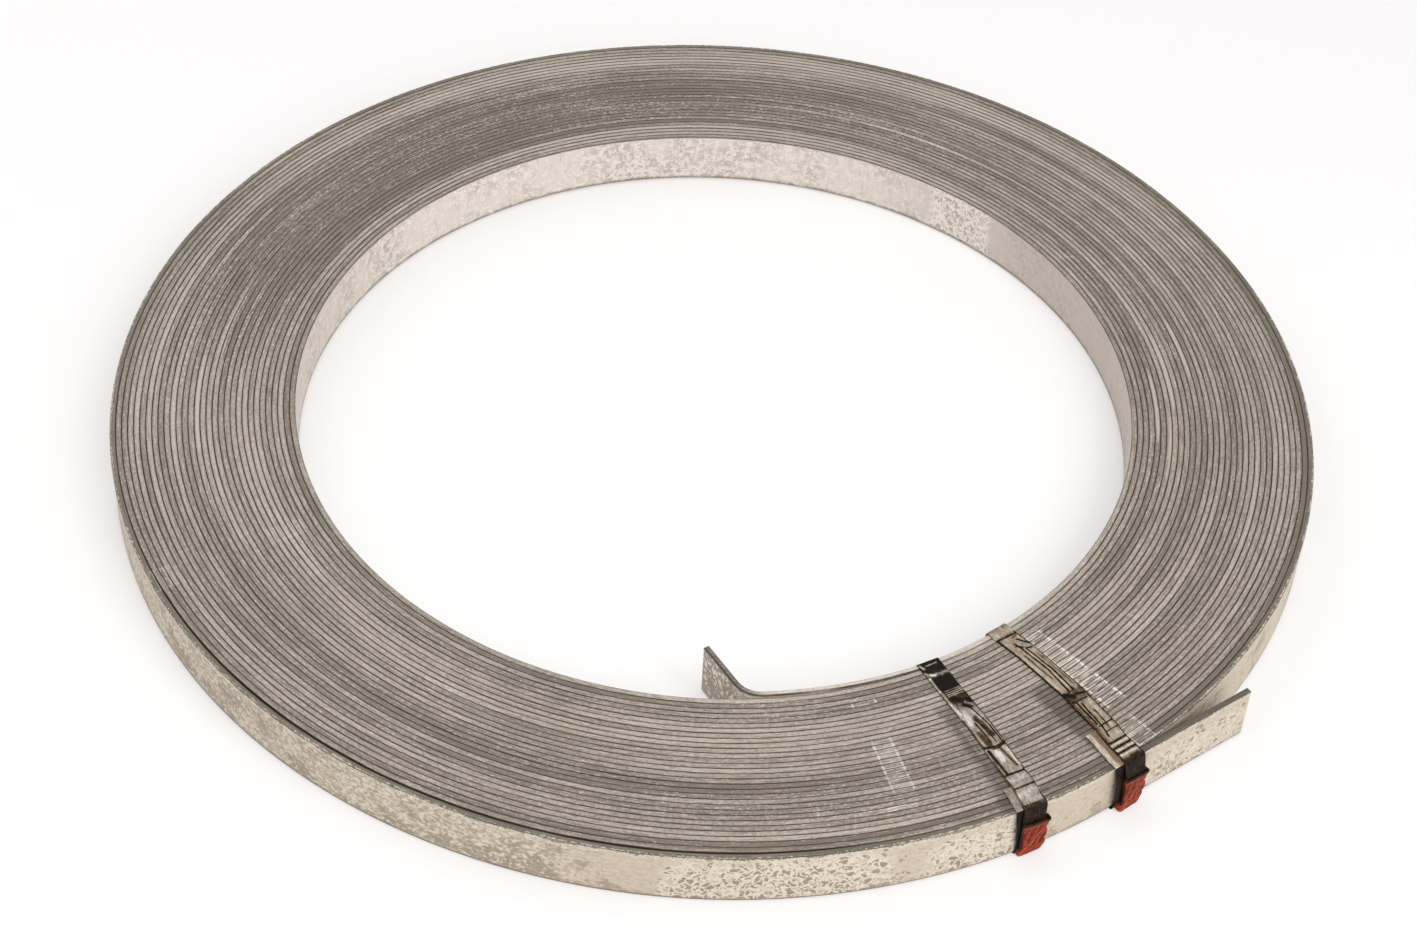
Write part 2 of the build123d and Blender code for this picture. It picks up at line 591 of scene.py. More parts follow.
    def printed(self, tree: ShaderTree, at: StripFields, scuff: Field, grain: Field) -> Field:
        """Where straps' old places left pale broken lines."""
        round_coil = at.angle * self.print_stretch
        jump = tree.noise(tree.vector(0.0, at.radius, round_coil), self.jumps)
        broken = tree.noise(tree.vector(round_coil, at.radius, 2.0), self.breaks).rise(self.whole_lines)
        wander = grain.sway(self.print_grain) + jump.sway(self.print_jump)
        total: Value = 0.0
        for mark in self.prints:
            total = tree.math("MAXIMUM", total, mark.share(tree, at, wander, broken, scuff))
        return total

    def gapped(self, tree: ShaderTree, at: StripFields, side: Field, grain: Field) -> Field:
        """How much painted shade darkens the gaps between the turns, wider where the strip stands off its
        neighbour.
        """
        slack = tree.noise(tree.vector(at.along, 2.0, 0.0), self.slacks)
        width = side + slack.sway(self.slack) + grain.sway(self.grain_gap)
        opened = at.turns.rise(self.opens) * at.turns.rise(self.closes)
        width = width + opened * at.across.rise(self.opened_side)
        width = width + at.turns.rise(self.bowed_part) * at.across.rise(self.bowed_side)
        depth = tree.noise(tree.vector(at.along, 6.0, 0.0), self.depths)
        return width.rise(self.gap) * depth.rise(self.gap_depth)

    def colour(self, tree: ShaderTree, at: StripFields) -> tuple[Field, Field]:
        """Lays the colours of the edges over one another.

        Args:
            tree: the material's nodes.
            at: the place on the strip.

        Returns:
            The edges' colour and the pattern of their fine relief.
        """
        side = abs(at.across)
        streak = tree.noise(tree.vector(at.along * self.streak_stretch, at.radius, 0.0), self.streaks)
        grain = tree.noise(tree.vector(at.along * self.grain_stretch, at.radius, 1.0), self.grains)
        run = tree.noise(tree.vector(at.along, 0.0, 0.0), self.runs)
        length = tree.noise(tree.vector(at.along, 4.0, 0.0), self.lengths)
        cloud = tree.noise(tree.position, self.clouds)
        tone = streak.sway(1.7) + run.sway(1.6) + length.sway(1.5) + cloud.sway(0.5) + grain.sway(2.4)
        for shade in self.shades:
            tone = tone + shade.share(at)
        colour = tree.cover(self.dark, self.light, tone, self.tone_range)
        # Painted shade on the rounded sides of each ridge, softer in front.
        rounded = side.rise(self.rounded) * tree.math("SINE", at.angle).rise(self.softer_in_front)
        colour = tree.mix(rounded, colour, self.side_shade)
        corner = side.rise(self.corner)
        # Bright specks: partly pale spots in the zinc, partly painted glints, which the corner term makes
        # likelier on each ridge's rounded corners.
        bright = grain * 0.75 + streak * 0.25 + corner * 0.04 + run.sway(0.3)
        for stretch in self.specks:
            bright = bright + stretch.share(at)
        colour = tree.cover(colour, self.speck, bright, self.specked)
        burnish = tree.noise(tree.vector(at.along, 9.0, at.across * self.burnish_across), self.burnishes)
        colour = tree.cover(colour, self.speck, burnish, self.burnished)
        last = at.turns.rise(self.last_turn)
        colour = tree.mix(last * streak.rise(self.weathered), colour, self.olive)
        colour = tree.cover(colour, self.olive, at.turns, self.outer_end)
        chips = at.across * self.chip_across + grain.sway(1.8) + run.sway(0.9)
        colour = tree.mix(last * chips.rise(self.chipped), colour, self.chip)
        colour = tree.cover(colour, self.cut, at.turns, self.cut_end)
        colour = tree.mix(at.along.rise(self.bent_end) * grain.rise(self.bent_grain), colour, self.cut)
        first = at.along.rise(self.bright_from) * at.along.rise(self.bright_to)
        colour = tree.mix(first * bright.rise(self.bright_share), colour, self.chip)
        scuff = (streak + corner * 0.12).rise(self.scuffed)
        colour = tree.mix(self.printed(tree, at, scuff, grain), colour, self.speck)
        # Painted shade in the gaps between the turns.
        colour = tree.mix(self.gapped(tree, at, side, grain), colour, self.painted_shade)
        # Painted shadow of the straps on the ridges to their left.
        strap_shadow: Value = 0.0
        for beside in self.strap_shadows:
            strap_shadow = tree.math("MAXIMUM", strap_shadow, beside.share(at, streak))
        return tree.mix(strap_shadow, colour, self.painted_shade), streak + grain


@dataclass(frozen=True)
class Lace:
    """Zinc broken up into cells among pale veins, with small cells and large ones."""

    bend: Pattern = Pattern(240.0, 4.0, 0.5)
    bend_by: float = 8 * MM
    ragged: Pattern = Pattern(620.0, 3.0, 0.7)
    small: tuple[float, float, float] = (520.0, 0.7, 0.0)
    large: tuple[float, float, float] = (262.0, 1.0, 0.85)
    border: Ramp = Ramp(0.9, 1.5, 0.42, 0.1)
    veined: Ramp = Ramp(0.06, 0.16, 1.0, 0.0)
    taken: Ramp = Ramp(0.9, 0.94, 0.0, 0.9)
    inside: Ramp = Ramp(0.0, 0.05)

    def cells(self, tree: ShaderTree, vector: Field, scale: float, feature: str, result: str) -> Field:
        """One result of the cells of a size."""
        return tree.get("ShaderNodeTexVoronoi", {"Vector": vector, "Scale": scale}, result, feature=feature)

    def lay(self, tree: ShaderTree, flat: Field, fill: Field, base: Field, cell: Colour,
            vein: Colour) -> Field:
        """Lays the lace over a colour.

        Args:
            tree: the material's nodes.
            flat: the place on the unrolled strip, in metres.
            fill: how many cells there are, from 0 to about 1.
            base: the colour under the lace.
            cell: the cells' colour.
            vein: the veins' colour.

        Returns:
            The colour with the lace on it.
        """
        shift = tree.vector_math("SUBTRACT", tree.noise(flat, self.bend, "Color"), (0.5, 0.5, 0.5))
        moved = tree.vector_math("ADD", flat, tree.vector_math("SCALE", shift, self.bend_by))
        ragged = tree.noise(flat, self.ragged).sway(0.45)
        colour = base
        for scale, share, veins in (self.small, self.large):
            border = self.cells(tree, moved, scale, "DISTANCE_TO_EDGE", "Distance") + ragged
            reach = tree.parts(self.cells(tree, moved, scale, "F1", "Color"))[0] + fill * share
            ringed = fill.rise(Ramp(0.3, 0.6, 0.0, veins)) * border.rise(self.veined)
            colour = tree.mix(ringed, colour, vein)
            inside = (border - reach.rise(self.border)).rise(self.inside)
            colour = tree.mix(reach.rise(self.taken) * inside, colour, cell)
        return colour


@dataclass(frozen=True)
class LaceArea:
    """A stretch of the outer wall, in degrees, where the zinc broke up into cells, and how many of them."""

    angle: float
    spread: float
    fill: float

    def share(self, at: StripFields, patch: Field) -> Field:
        """How many cells the stretch gives a place, with an edge that follows the patches."""
        edge = math.cos(math.radians(self.spread))
        near = at.facing(self.angle) + patch.sway(1 - edge)
        return near.rise(Ramp(edge, 1.0, 0.0, self.fill))


@dataclass(frozen=True)
class OuterWallFinish:
    """Zinc on the outermost turn's face and the outer end: cream, with blotches, lace and chipped edges."""

    cream: Colour = srgb(197, 185, 167)
    warm: Colour = srgb(182, 168, 147)
    blotch: Colour = srgb(141, 127, 108)
    vein: Colour = srgb(215, 205, 190)
    dark_band: Colour = srgb(116, 98, 78)
    olive: Colour = srgb(92, 86, 70)
    patches: Pattern = Pattern(30.0, 4.0, 0.6)
    films: Pattern = Pattern(75.0, 7.0, 0.68)
    brushes: Pattern = Pattern(480.0, 6.0, 0.85)
    brush_stretch: float = 0.6
    granules: Pattern = Pattern(460.0, 2.0, 0.6, 0.4)
    granule_stretch: float = 0.8
    warmed: Ramp = Ramp(0.44, 0.58)
    left_side: Ramp = Ramp(math.radians(-106), math.radians(-92), 1.0, 0.0)
    lower_film: Ramp = Ramp(3 * MM, 24 * MM, 0.04, -0.05)
    filmed: Ramp = Ramp(0.54, 0.6, 0.0, 0.6)
    clouded: Ramp = Ramp(0.52, 0.55, 0.0, 0.55)
    cleared: Ramp = Ramp(0.44, 0.47, 0.85, 0.0)
    patched: Ramp = Ramp(0.4, 0.62, 0.0, 0.25)
    right_side: Ramp = Ramp(math.radians(-105), math.radians(-90))
    upper_fill: Ramp = Ramp(22 * MM, 34 * MM, 1.0, 0.5)
    upper_ragged: float = 9 * MM
    spotted: Ramp = Ramp(0.6, 0.7, 0.0, 0.5)
    foot: Ramp = Ramp(1 * MM, 2.5 * MM, 0.5, 0.0)
    foot_ragged: float = 22 * MM
    foot_line: Ramp = Ramp(1.2 * MM, 1.9 * MM, 0.85, 0.0)
    rim_fine: float = 8 * MM
    chip_ragged: float = 12 * MM
    chipped: Ramp = Ramp(28.2 * MM, 29 * MM, 0.0, 0.8)
    rim_ragged: float = 9 * MM
    rim: Ramp = Ramp(29.3 * MM, 30 * MM, 0.0, 0.75)
    lace: Lace = Lace()
    lace_areas: tuple[LaceArea, ...] = (
        LaceArea(-80.0, 10.0, 0.95),
        LaceArea(-89.0, 5.0, 0.9),
        LaceArea(-65.0, 9.0, 0.66),
        LaceArea(-43.0, 12.0, 0.56),
    )

    def colour(self, tree: ShaderTree, at: StripFields) -> Field:
        """The wall's colour at a place on the strip."""
        patch = tree.noise(at.flat, self.patches)
        soft = tree.noise(at.flat, self.films)
        brushed = tree.noise(tree.stretched(at.flat, self.brush_stretch), self.brushes)
        colour = tree.cover(self.cream, self.warm, brushed, self.warmed)
        left = at.angle.rise(self.left_side)
        film = soft * 0.6 + brushed * 0.4 + patch.sway(0.6) + left * 0.05 + at.height.rise(self.lower_film)
        colour = tree.cover(colour, self.blotch, film, self.filmed)
        granules = tree.noise(tree.stretched(at.flat, self.granule_stretch), self.granules)
        clouds = granules * 0.65 + soft * 0.35
        colour = tree.mix(left * clouds.rise(self.clouded), colour, self.blotch)
        colour = tree.mix(left * clouds.rise(self.cleared), colour, self.vein)
        fill = patch.rise(self.patched) * at.angle.rise(self.right_side)
        for area in self.lace_areas:
            fill = tree.math("MAXIMUM", fill, area.share(at, patch))
        fill = fill * (at.height + soft * self.upper_ragged).rise(self.upper_fill)
        colour = self.lace.lay(tree, at.flat, fill, colour, self.blotch, self.vein)
        colour = tree.cover(colour, self.vein, at.fine, self.spotted)
        colour = tree.cover(colour, self.blotch, at.height + soft.sway(self.foot_ragged), self.foot)
        # A thin dark line along the wall's foot.
        colour = tree.cover(colour, self.dark_band, at.height, self.foot_line)
        high = at.height + at.fine.sway(self.rim_fine)
        colour = tree.cover(colour, self.vein, high + soft.sway(self.chip_ragged), self.chipped)
        return tree.cover(colour, self.olive, high + soft.sway(self.rim_ragged), self.rim)


@dataclass(frozen=True)
class BoreFinish:
    """Zinc on the innermost turn's face: pale and frosted, with painted shade greying it on the right and
    less on the left, and one laced stretch.
    """

    pale: Colour = srgb(212, 202, 193)
    grey: Colour = srgb(176, 165, 153)
    frost: Colour = srgb(228, 221, 213)
    dark_band: Colour = srgb(116, 98, 78)
    clouds: Pattern = Pattern(24.0, 4.0, 0.6)
    frosts: Pattern = Pattern(210.0, 5.0, 0.7)
    streaks: Pattern = Pattern(260.0, 3.0, 0.6, 0.3)
    streak_height: float = 0.3
    crystals: Pattern = Pattern(620.0, 4.0, 0.75)
    clouded: Ramp = Ramp(0.42, 0.62)
    streaked: Ramp = Ramp(0.52, 0.66, 0.0, 0.4)
    frosted: Ramp = Ramp(0.47, 0.56, 0.0, 0.8)
    spotted: Ramp = Ramp(0.56, 0.68, 0.0, 0.35)
    right_side: Ramp = Ramp(0.3, 0.9, 0.0, 0.7)
    left_side: Ramp = Ramp(-0.98, -0.8, 0.25, 0.0)
    lace: Lace = Lace()
    lace_angle: float = 52.0
    lace_fill: Ramp = Ramp(math.cos(math.radians(8)), 1.0, 0.0, 0.8)
    foot: Ramp = Ramp(1.2 * MM, 3.4 * MM, 0.7, 0.0)
    foot_ragged: float = 4 * MM
    rim: Ramp = Ramp(29.6 * MM, 30.2 * MM, 0.0, 0.6)
    rim_ragged: float = 3 * MM

    def colour(self, tree: ShaderTree, at: StripFields) -> Field:
        """The bore's colour at a place on the strip."""
        cloud = tree.noise(at.flat, self.clouds)
        frost = tree.noise(at.flat, self.frosts)
        streak = tree.noise(tree.stretched(at.flat, 1.0, self.streak_height), self.streaks)
        colour = tree.cover(self.pale, self.grey, cloud, self.clouded)
        colour = tree.cover(colour, self.grey, streak, self.streaked)
        white = frost * 0.55 + tree.noise(at.flat, self.crystals) * 0.45 + cloud.sway(0.25)
        colour = tree.cover(colour, self.frost, white, self.frosted)
        colour = tree.cover(colour, self.grey, at.fine, self.spotted)
        # Painted shade: greyer towards the bore's right side and, less, its left.
        east = at.facing(0.0)
        colour = tree.mix(east.rise(self.right_side) + east.rise(self.left_side), colour, self.grey)
        fill = at.facing(self.lace_angle).rise(self.lace_fill)
        colour = self.lace.lay(tree, at.flat, fill, colour, self.grey, self.frost)
        # Darker towards the bore's foot and its top rim.
        colour = tree.cover(colour, self.dark_band, at.height + frost.sway(self.foot_ragged), self.foot)
        return tree.cover(colour, self.dark_band, at.height + frost.sway(self.rim_ragged), self.rim)


@dataclass(frozen=True)
class ZincFinish:
    """Hot-dip zinc on the whole strip: its edges, the outer wall, the bore and the two free ends."""

    edges: EdgeFinish = EdgeFinish()
    outer: OuterWallFinish = OuterWallFinish()
    bore: BoreFinish = BoreFinish()
    lace: Lace = Lace()
    bent_end: Colour = srgb(182, 171, 155)
    bent_end_dark: Colour = srgb(150, 139, 124)
    bent_end_light: Colour = srgb(236, 227, 214)
    hidden_shade: Colour = srgb(58, 49, 39)
    fine: Pattern = Pattern(800.0, 4.0, 0.65)
    spreads: Pattern = Pattern(60.0, 3.0, 0.5)
    spread_height: float = 24 * MM
    bent_end_fill: Ramp = Ramp(18 * MM, 34 * MM, 0.4, 1.1)
    bent_end_spots: Ramp = Ramp(0.4, 0.6)
    bent_end_stops: Ramp = Ramp(24 * MM, 40 * MM)
    inner_turn: Ramp = Ramp(1.4, 1.6)
    hidden_from: Ramp = Ramp(1.1, 1.15)
    hidden_to: Ramp = Ramp(30.04, 30.08, 1.0, 0.0)
    upward: Ramp = Ramp(0.12, 0.3)
    roughness: Ramp = Ramp(0.6, 1.4, 0.42, 0.6)

    def wall_colour(self, tree: ShaderTree, at: StripFields) -> Field:
        """The colour of the strip's flat faces, with painted shade where turns hide them."""
        fill = (at.height + tree.noise(at.flat, self.spreads) * self.spread_height).rise(self.bent_end_fill)
        end = tree.cover(self.bent_end_dark, self.bent_end, at.fine, self.bent_end_spots)
        end = self.lace.lay(tree, at.flat, fill, end, self.bent_end_light, self.bent_end_dark)
        inner = tree.cover(end, self.bore.colour(tree, at), at.along, self.bent_end_stops)
        wall = tree.cover(inner, self.outer.colour(tree, at), at.turns, self.inner_turn)
        # Painted shade on the inner turns' faces, which show only in the gaps.
        return tree.mix(at.turns.rise(self.hidden_from) * at.turns.rise(self.hidden_to), wall, self.hidden_shade)

    def build(self) -> bpy.types.Material:
        """Makes the material."""
        tree = ShaderTree("zinc")
        up = abs(tree.parts(tree.get("ShaderNodeNewGeometry", output="Normal"))[2])
        at = StripFields.read(tree, self.fine)
        edge, relief = self.edges.colour(tree, at)
        colour = tree.cover(self.wall_colour(tree, at), edge, up, self.upward)
        return tree.finish(colour, relief.rise(self.roughness), relief, 0.1 * MM, 0.5, Metallic=0.2)


@dataclass(frozen=True)
class StrapFinish:
    """Black waxed strapping, scuffed to bare and weathered steel where it was handled, with painted
    highlights and painted shade in its creases carried in its tone.
    """

    name: str
    black: Colour = srgb(22, 17, 12)
    brown: Colour = srgb(62, 47, 34)
    grey: Colour = srgb(138, 129, 117)
    bright: Colour = srgb(212, 206, 197)
    rust: Colour = srgb(98, 68, 38)
    streaks: Pattern = Pattern(1700.0, 4.0, 0.7)
    streak_stretch: float = 0.14
    blotches: Pattern = Pattern(330.0, 5.0, 0.65, 0.8)
    spots: Pattern = Pattern(1600.0, 3.0, 0.7)
    worn_brown: Ramp = Ramp(0.02, 0.3)
    worn_grey: Ramp = Ramp(0.28, 0.56)
    bare_and_highlight: Ramp = Ramp(0.56, 0.92)
    rusted: Ramp = Ramp(0.35, 0.95, 0.0, 0.8)
    roughness: Ramp = Ramp(0.35, 0.65, 0.36, 0.52)

    def build(self) -> bpy.types.Material:
        """Makes the material, whose tone is kept on the strap and broken up along the strap's length."""
        tree = ShaderTree(self.name)
        flat = tree.get("ShaderNodeUVMap", uv_map="flat")
        streak = tree.noise(tree.stretched(flat, self.streak_stretch), self.streaks)
        blotch = tree.noise(flat, self.blotches)
        spot = tree.noise(flat, self.spots)
        tone = tree.attribute("tone") + streak.sway(0.95) + blotch.sway(0.7) + spot.sway(0.35)
        colour = tree.cover(self.black, self.brown, tone, self.worn_brown)
        colour = tree.cover(colour, self.grey, tone, self.worn_grey)
        # Bright bare steel, and the painted highlights where the tone is raised for them.
        colour = tree.cover(colour, self.bright, tone, self.bare_and_highlight)
        rust = tree.attribute("rust") + blotch.sway(2.2) + spot.sway(0.9)
        colour = tree.cover(colour, self.rust, rust, self.rusted)
        return tree.finish(colour, spot.rise(self.roughness), streak, 0.16 * MM, 0.6,
                           Metallic=0.2, Specular_IOR_Level=0.08)


@dataclass(frozen=True)
class SealFinish:
    """Red paint on the seals, rubbed brown where the jaws pressed it and dark at the open lip."""

    red: Colour = srgb(154, 57, 33)
    red_dark: Colour = srgb(122, 47, 29)
    pressed: Colour = srgb(80, 40, 28)
    lip: Colour = srgb(48, 34, 24)
    scratch: Colour = srgb(196, 128, 104)
    blotches: Pattern = Pattern(420.0, 4.0, 0.6, 0.5)
    spots: Pattern = Pattern(1800.0, 3.0, 0.6)
    darkened: Ramp = Ramp(0.38, 0.6)
    spotted: Ramp = Ramp(0.6, 0.72, 0.0, 0.4)
    crimped: Ramp = Ramp(0.3, 0.7, 0.0, 0.85)
    pale_lined: Ramp = Ramp(0.4, 0.9, 0.0, 0.7)
    bared: Ramp = Ramp(0.35, 0.7)
    roughness: float = 0.55

    def build(self) -> bpy.types.Material:
        """Makes the material."""
        tree = ShaderTree("seal_paint")
        flat = tree.get("ShaderNodeUVMap", uv_map="flat")
        blotch = tree.noise(flat, self.blotches)
        spot = tree.noise(flat, self.spots)
        colour = tree.cover(self.red, self.red_dark, blotch, self.darkened)
        colour = tree.cover(colour, self.pressed, spot, self.spotted)
        colour = tree.cover(colour, self.pressed, tree.attribute("crimp") + spot.sway(0.6), self.crimped)
        colour = tree.cover(colour, self.scratch, tree.attribute("scratch") + spot.sway(0.8), self.pale_lined)
        colour = tree.cover(colour, self.lip, tree.attribute("lip") + blotch.sway(0.7), self.bared)
        return tree.finish(colour, self.roughness, blotch, 0.3 * MM, 0.7, Specular_IOR_Level=0.08)


@dataclass
class StripCoil:
    """The flat strip, wound edge-on from its bent inner end to its straight outer end."""

    zinc: bpy.types.Material
    width: float = 30.0 * MM
    thickness: float = 3.0 * MM
    edge_round: float = 0.4 * MM
    edge_steps: int = 2
    pitch: float = 3.095 * MM
    first_radius: float = 221.29 * MM
    first_angle: float = -82.0
    wound_degrees: float = 31 * 360 + 29.7
    steps_per_turn: int = 180
    base_height: float = 0.75 * MM
    height_wave: float = 0.3 * MM
    wave: Pattern = Pattern(1.4, 2.0, 0.5)
    wave_per_turn: float = 1.3
    bend_radius: float = 14.0 * MM
    bend_degrees: float = 64.0
    bend_steps: int = 10
    tip_length: float = 27.0 * MM
    tip_steps: int = 4
    outer_length: float = 88.0 * MM
    outer_steps: int = 10
    bow: float = 1.5 * MM
    bow_degrees: float = 26.0
    loose: float = 0.5 * MM
    loose_drop: float = 0.3 * MM
    loose_from: float = 14.0
    loose_full: float = 39.0
    loose_closing: float = 77.0
    loose_to: float = 112.0
    smooth_degrees: float = 15.0
    seed: float = 7.0

    @property
    def wound_steps(self) -> int:
        """The number of steps in the wound part."""
        return round(self.wound_degrees / 360 * self.steps_per_turn)

    def wound_part(self, tree: FieldTree, step: Field) -> tuple[Field, Field, Field]:
        """Works out the strip's centre line where it is wound.

        Args:
            tree: the tree that the fields go into.
            step: the number of steps from the start of the wound part.

        Returns:
            The points, the tangent along the turns and how many turns are wound.
        """
        total = math.radians(self.wound_degrees)
        turned = tree.held(step, 0.0, float(self.wound_steps)) * (total / self.wound_steps)
        angle = turned + math.radians(self.first_angle)
        turns = tree.math("DIVIDE", turned, math.tau)
        left = (total - turned) * math.degrees(1)
        opening = left.rise(Ramp(self.loose_from, self.loose_full, 0.0, self.loose))
        closing = left.rise(Ramp(self.loose_closing, self.loose_to, 0.0, -self.loose))
        bowed = turned.rise(Ramp(0.0, math.radians(self.bow_degrees), -self.bow, 0.0))
        first_radius = tree.size("First radius", self.first_radius + self.thickness / 2)
        radius = first_radius + turns * tree.size("Pitch", self.pitch) + bowed + opening + closing
        cosine = tree.math("COSINE", angle)
        sine = tree.math("SINE", angle)
        inputs = {"Vector": tree.vector(cosine, sine, turns * self.wave_per_turn),
                  "W": tree.size("Seed", self.seed), "Scale": self.wave.scale, "Detail": self.wave.detail}
        wave = tree.get("ShaderNodeTexNoise", inputs, noise_dimensions="4D")
        height = (wave - 0.5) * tree.size("Height wave", self.height_wave * 2)
        height = height - (opening + closing) * (self.loose_drop / self.loose)
        tangent = tree.vector(sine * -1.0, cosine, 0.0)
        return tree.vector(radius * cosine, radius * sine, height), tangent, turns

    def bent_part(self, tree: FieldTree, back: Field) -> tuple[Field, Field]:
        """Works out the strip's bent inner end.

        Args:
            tree: the tree that the fields go into.
            back: the number of steps back from the start of the wound part.

        Returns:
            How far the points lie towards the coil's centre, and how far back along the first turn.
        """
        per_step = math.radians(self.bend_degrees) / self.bend_steps
        bend = tree.held(back, 0.0, float(self.bend_steps)) * per_step
        cosine = tree.math("COSINE", bend)
        sine = tree.math("SINE", bend)
        past = tree.math("MAXIMUM", back - float(self.bend_steps), 0.0) * (self.tip_length / self.tip_steps)
        radius = tree.size("Bend radius", self.bend_radius)
        return radius * (1.0 - cosine) + past * sine, radius * sine + past * cosine

    def centre_line(self, tree: FieldTree) -> tuple[Field, Field]:
        """Works out every point of the strip's centre line from its number along the strip.

        Args:
            tree: the tree that the fields go into.

        Returns:
            The points, and how many turns are wound at each.
        """
        step = tree.get("GeometryNodeInputIndex") - float(self.tip_steps + self.bend_steps)
        point, tangent, turns = self.wound_part(tree, step)
        inward, backward = self.bent_part(tree, step * -1.0)
        run_out = tree.math("MAXIMUM", step - float(self.wound_steps), 0.0)
        run_out = run_out * (self.outer_length / self.outer_steps)
        offsets = (
            tree.vector_math("SCALE", tangent, run_out),
            tree.vector_math("SCALE", tuple(-PLACING.outward(self.first_angle)), inward),
            tree.vector_math("SCALE", tuple(-PLACING.along(self.first_angle)), backward),
            (PLACING.centre_x, PLACING.centre_y, self.base_height + self.width / 2),
        )
        for offset in offsets:
            point = tree.vector_math("ADD", point, offset)
        return point, turns

    def section(self, tree: FieldTree) -> Field:
        """The strip's section with rounded edges, each point marked with its place across the thickness."""
        sizes = {"Width": tree.size("Thickness", self.thickness), "Height": tree.size("Width", self.width)}
        square = tree.get("GeometryNodeCurvePrimitiveQuadrilateral", sizes)
        corners = {"Curve": square, "Count": self.edge_steps,
                   "Radius": tree.size("Edge round", self.edge_round)}
        rounded = tree.get("GeometryNodeFilletCurve", corners, mode="POLY")
        return tree.store(rounded, "across", tree.parts(tree.get("GeometryNodeInputPosition"))[0])

    def build(self) -> bpy.types.Object:
        """Winds the strip and returns its mesh object."""
        tree = FieldTree("wound_strip")
        point, turns = self.centre_line(tree)
        count = self.tip_steps + self.bend_steps + self.wound_steps + self.outer_steps + 1
        line = tree.get("GeometryNodeCurvePrimitiveLine")
        points = tree.get("GeometryNodeResampleCurve", {"Curve": line, "Count": count})
        laid = tree.get("GeometryNodeSetPosition", {"Geometry": points, "Position": point})
        upright = tree.get("GeometryNodeSetCurveNormal", {"Curve": laid}, mode="Z_UP")
        marked = tree.store(upright, "turns", turns)
        marked = tree.store(marked, "along", tree.get("GeometryNodeSplineParameter", output="Length"))
        sweep = {"Curve": marked, "Profile Curve": self.section(tree), "Fill Caps": True}
        swept = tree.get("GeometryNodeCurveToMesh", sweep)
        turn = tree.get("GeometryNodeInputMeshEdgeAngle")
        smooth = tree.math("LESS_THAN", turn, math.radians(self.smooth_degrees))
        shading = {"Geometry": swept, "Shade Smooth": smooth}
        tree.finish(tree.get("GeometryNodeSetShadeSmooth", shading, domain="EDGE"), self.zinc)
        return hand_over(tree.mesh("earthing_strip"), "strip_coil")


@dataclass(frozen=True)
class Station:
    """One place on a flat route: where it is, which way it runs and how far along it lies."""

    at: Vector
    heading: Vector
    distance: float


def rounded_corner(before: Vector, here: Vector, after: Vector, radius: float, step: float) -> list[Vector]:
    """The points of the arc that rounds a corner.

    Args:
        before: the point before the corner.
        here: the corner.
        after: the point after it.
        radius: the arc's radius.
        step: the longest distance between two points.

    Returns:
        The arc's points in order.
    """
    back = (before - here).normalized()
    ahead = (after - here).normalized()
    half = back.angle(ahead) / 2
    centre = here + (back + ahead).normalized() * (radius / math.sin(half))
    first = here + back * (radius / math.tan(half)) - centre
    turn = math.pi - 2 * half
    side = math.copysign(1.0, back.x * ahead.y - back.y * ahead.x)
    count = max(2, math.ceil(turn * radius / step), math.ceil(turn / ARC_STEP))
    return [centre + Matrix.Rotation(-side * turn * share / count, 2) @ first for share in range(count + 1)]


def flat_route(corners: Sequence[Point2], radii: Sequence[float], step: float) -> list[Station]:
    """Walks a flat route of straight runs joined by arcs.

    Args:
        corners: the route's points, its two ends included.
        radii: the bend's radius at each inner corner.
        step: the longest distance between two stations.

    Returns:
        The stations in order.
    """
    points = [Vector(corners[0])]
    for before, here, after, radius in zip(corners, corners[1:], corners[2:], radii):
        points += rounded_corner(Vector(before), Vector(here), Vector(after), radius, step)
    points.append(Vector(corners[-1]))
    dense = [points[0]]
    for start, end in zip(points, points[1:]):
        parts = max(1, math.ceil((end - start).length / step))
        dense += [start.lerp(end, share / parts) for share in range(1, parts + 1)]
    stations = []
    distance = 0.0
    for number, place in enumerate(dense):
        before = dense[max(number - 1, 0)]
        after = dense[min(number + 1, len(dense) - 1)]
        distance += (place - before).length
        stations.append(Station(place, (after - before).normalized(), distance))
    return stations


def smoothstep(value: float) -> float:
    """A smooth rise from 0 to 1 as value goes from 0 to 1."""
    held = min(max(value, 0.0), 1.0)
    return held * held * (3 - 2 * held)


def between(pairs: Sequence[Point2], value: float) -> float:
    """A value read between given pairs, smoothly, and held past the first and the last."""
    if value <= pairs[0][0]:
        return pairs[0][1]
    for (low, first), (high, second) in zip(pairs, pairs[1:]):
        if value <= high:
            return first + (second - first) * smoothstep((value - low) / (high - low))
    return pairs[-1][1]


def bump_at(value: float, middle: float, width: float) -> float:
    """A soft hump of height 1 round a middle."""
    return math.exp(-((value - middle) / width) ** 2)


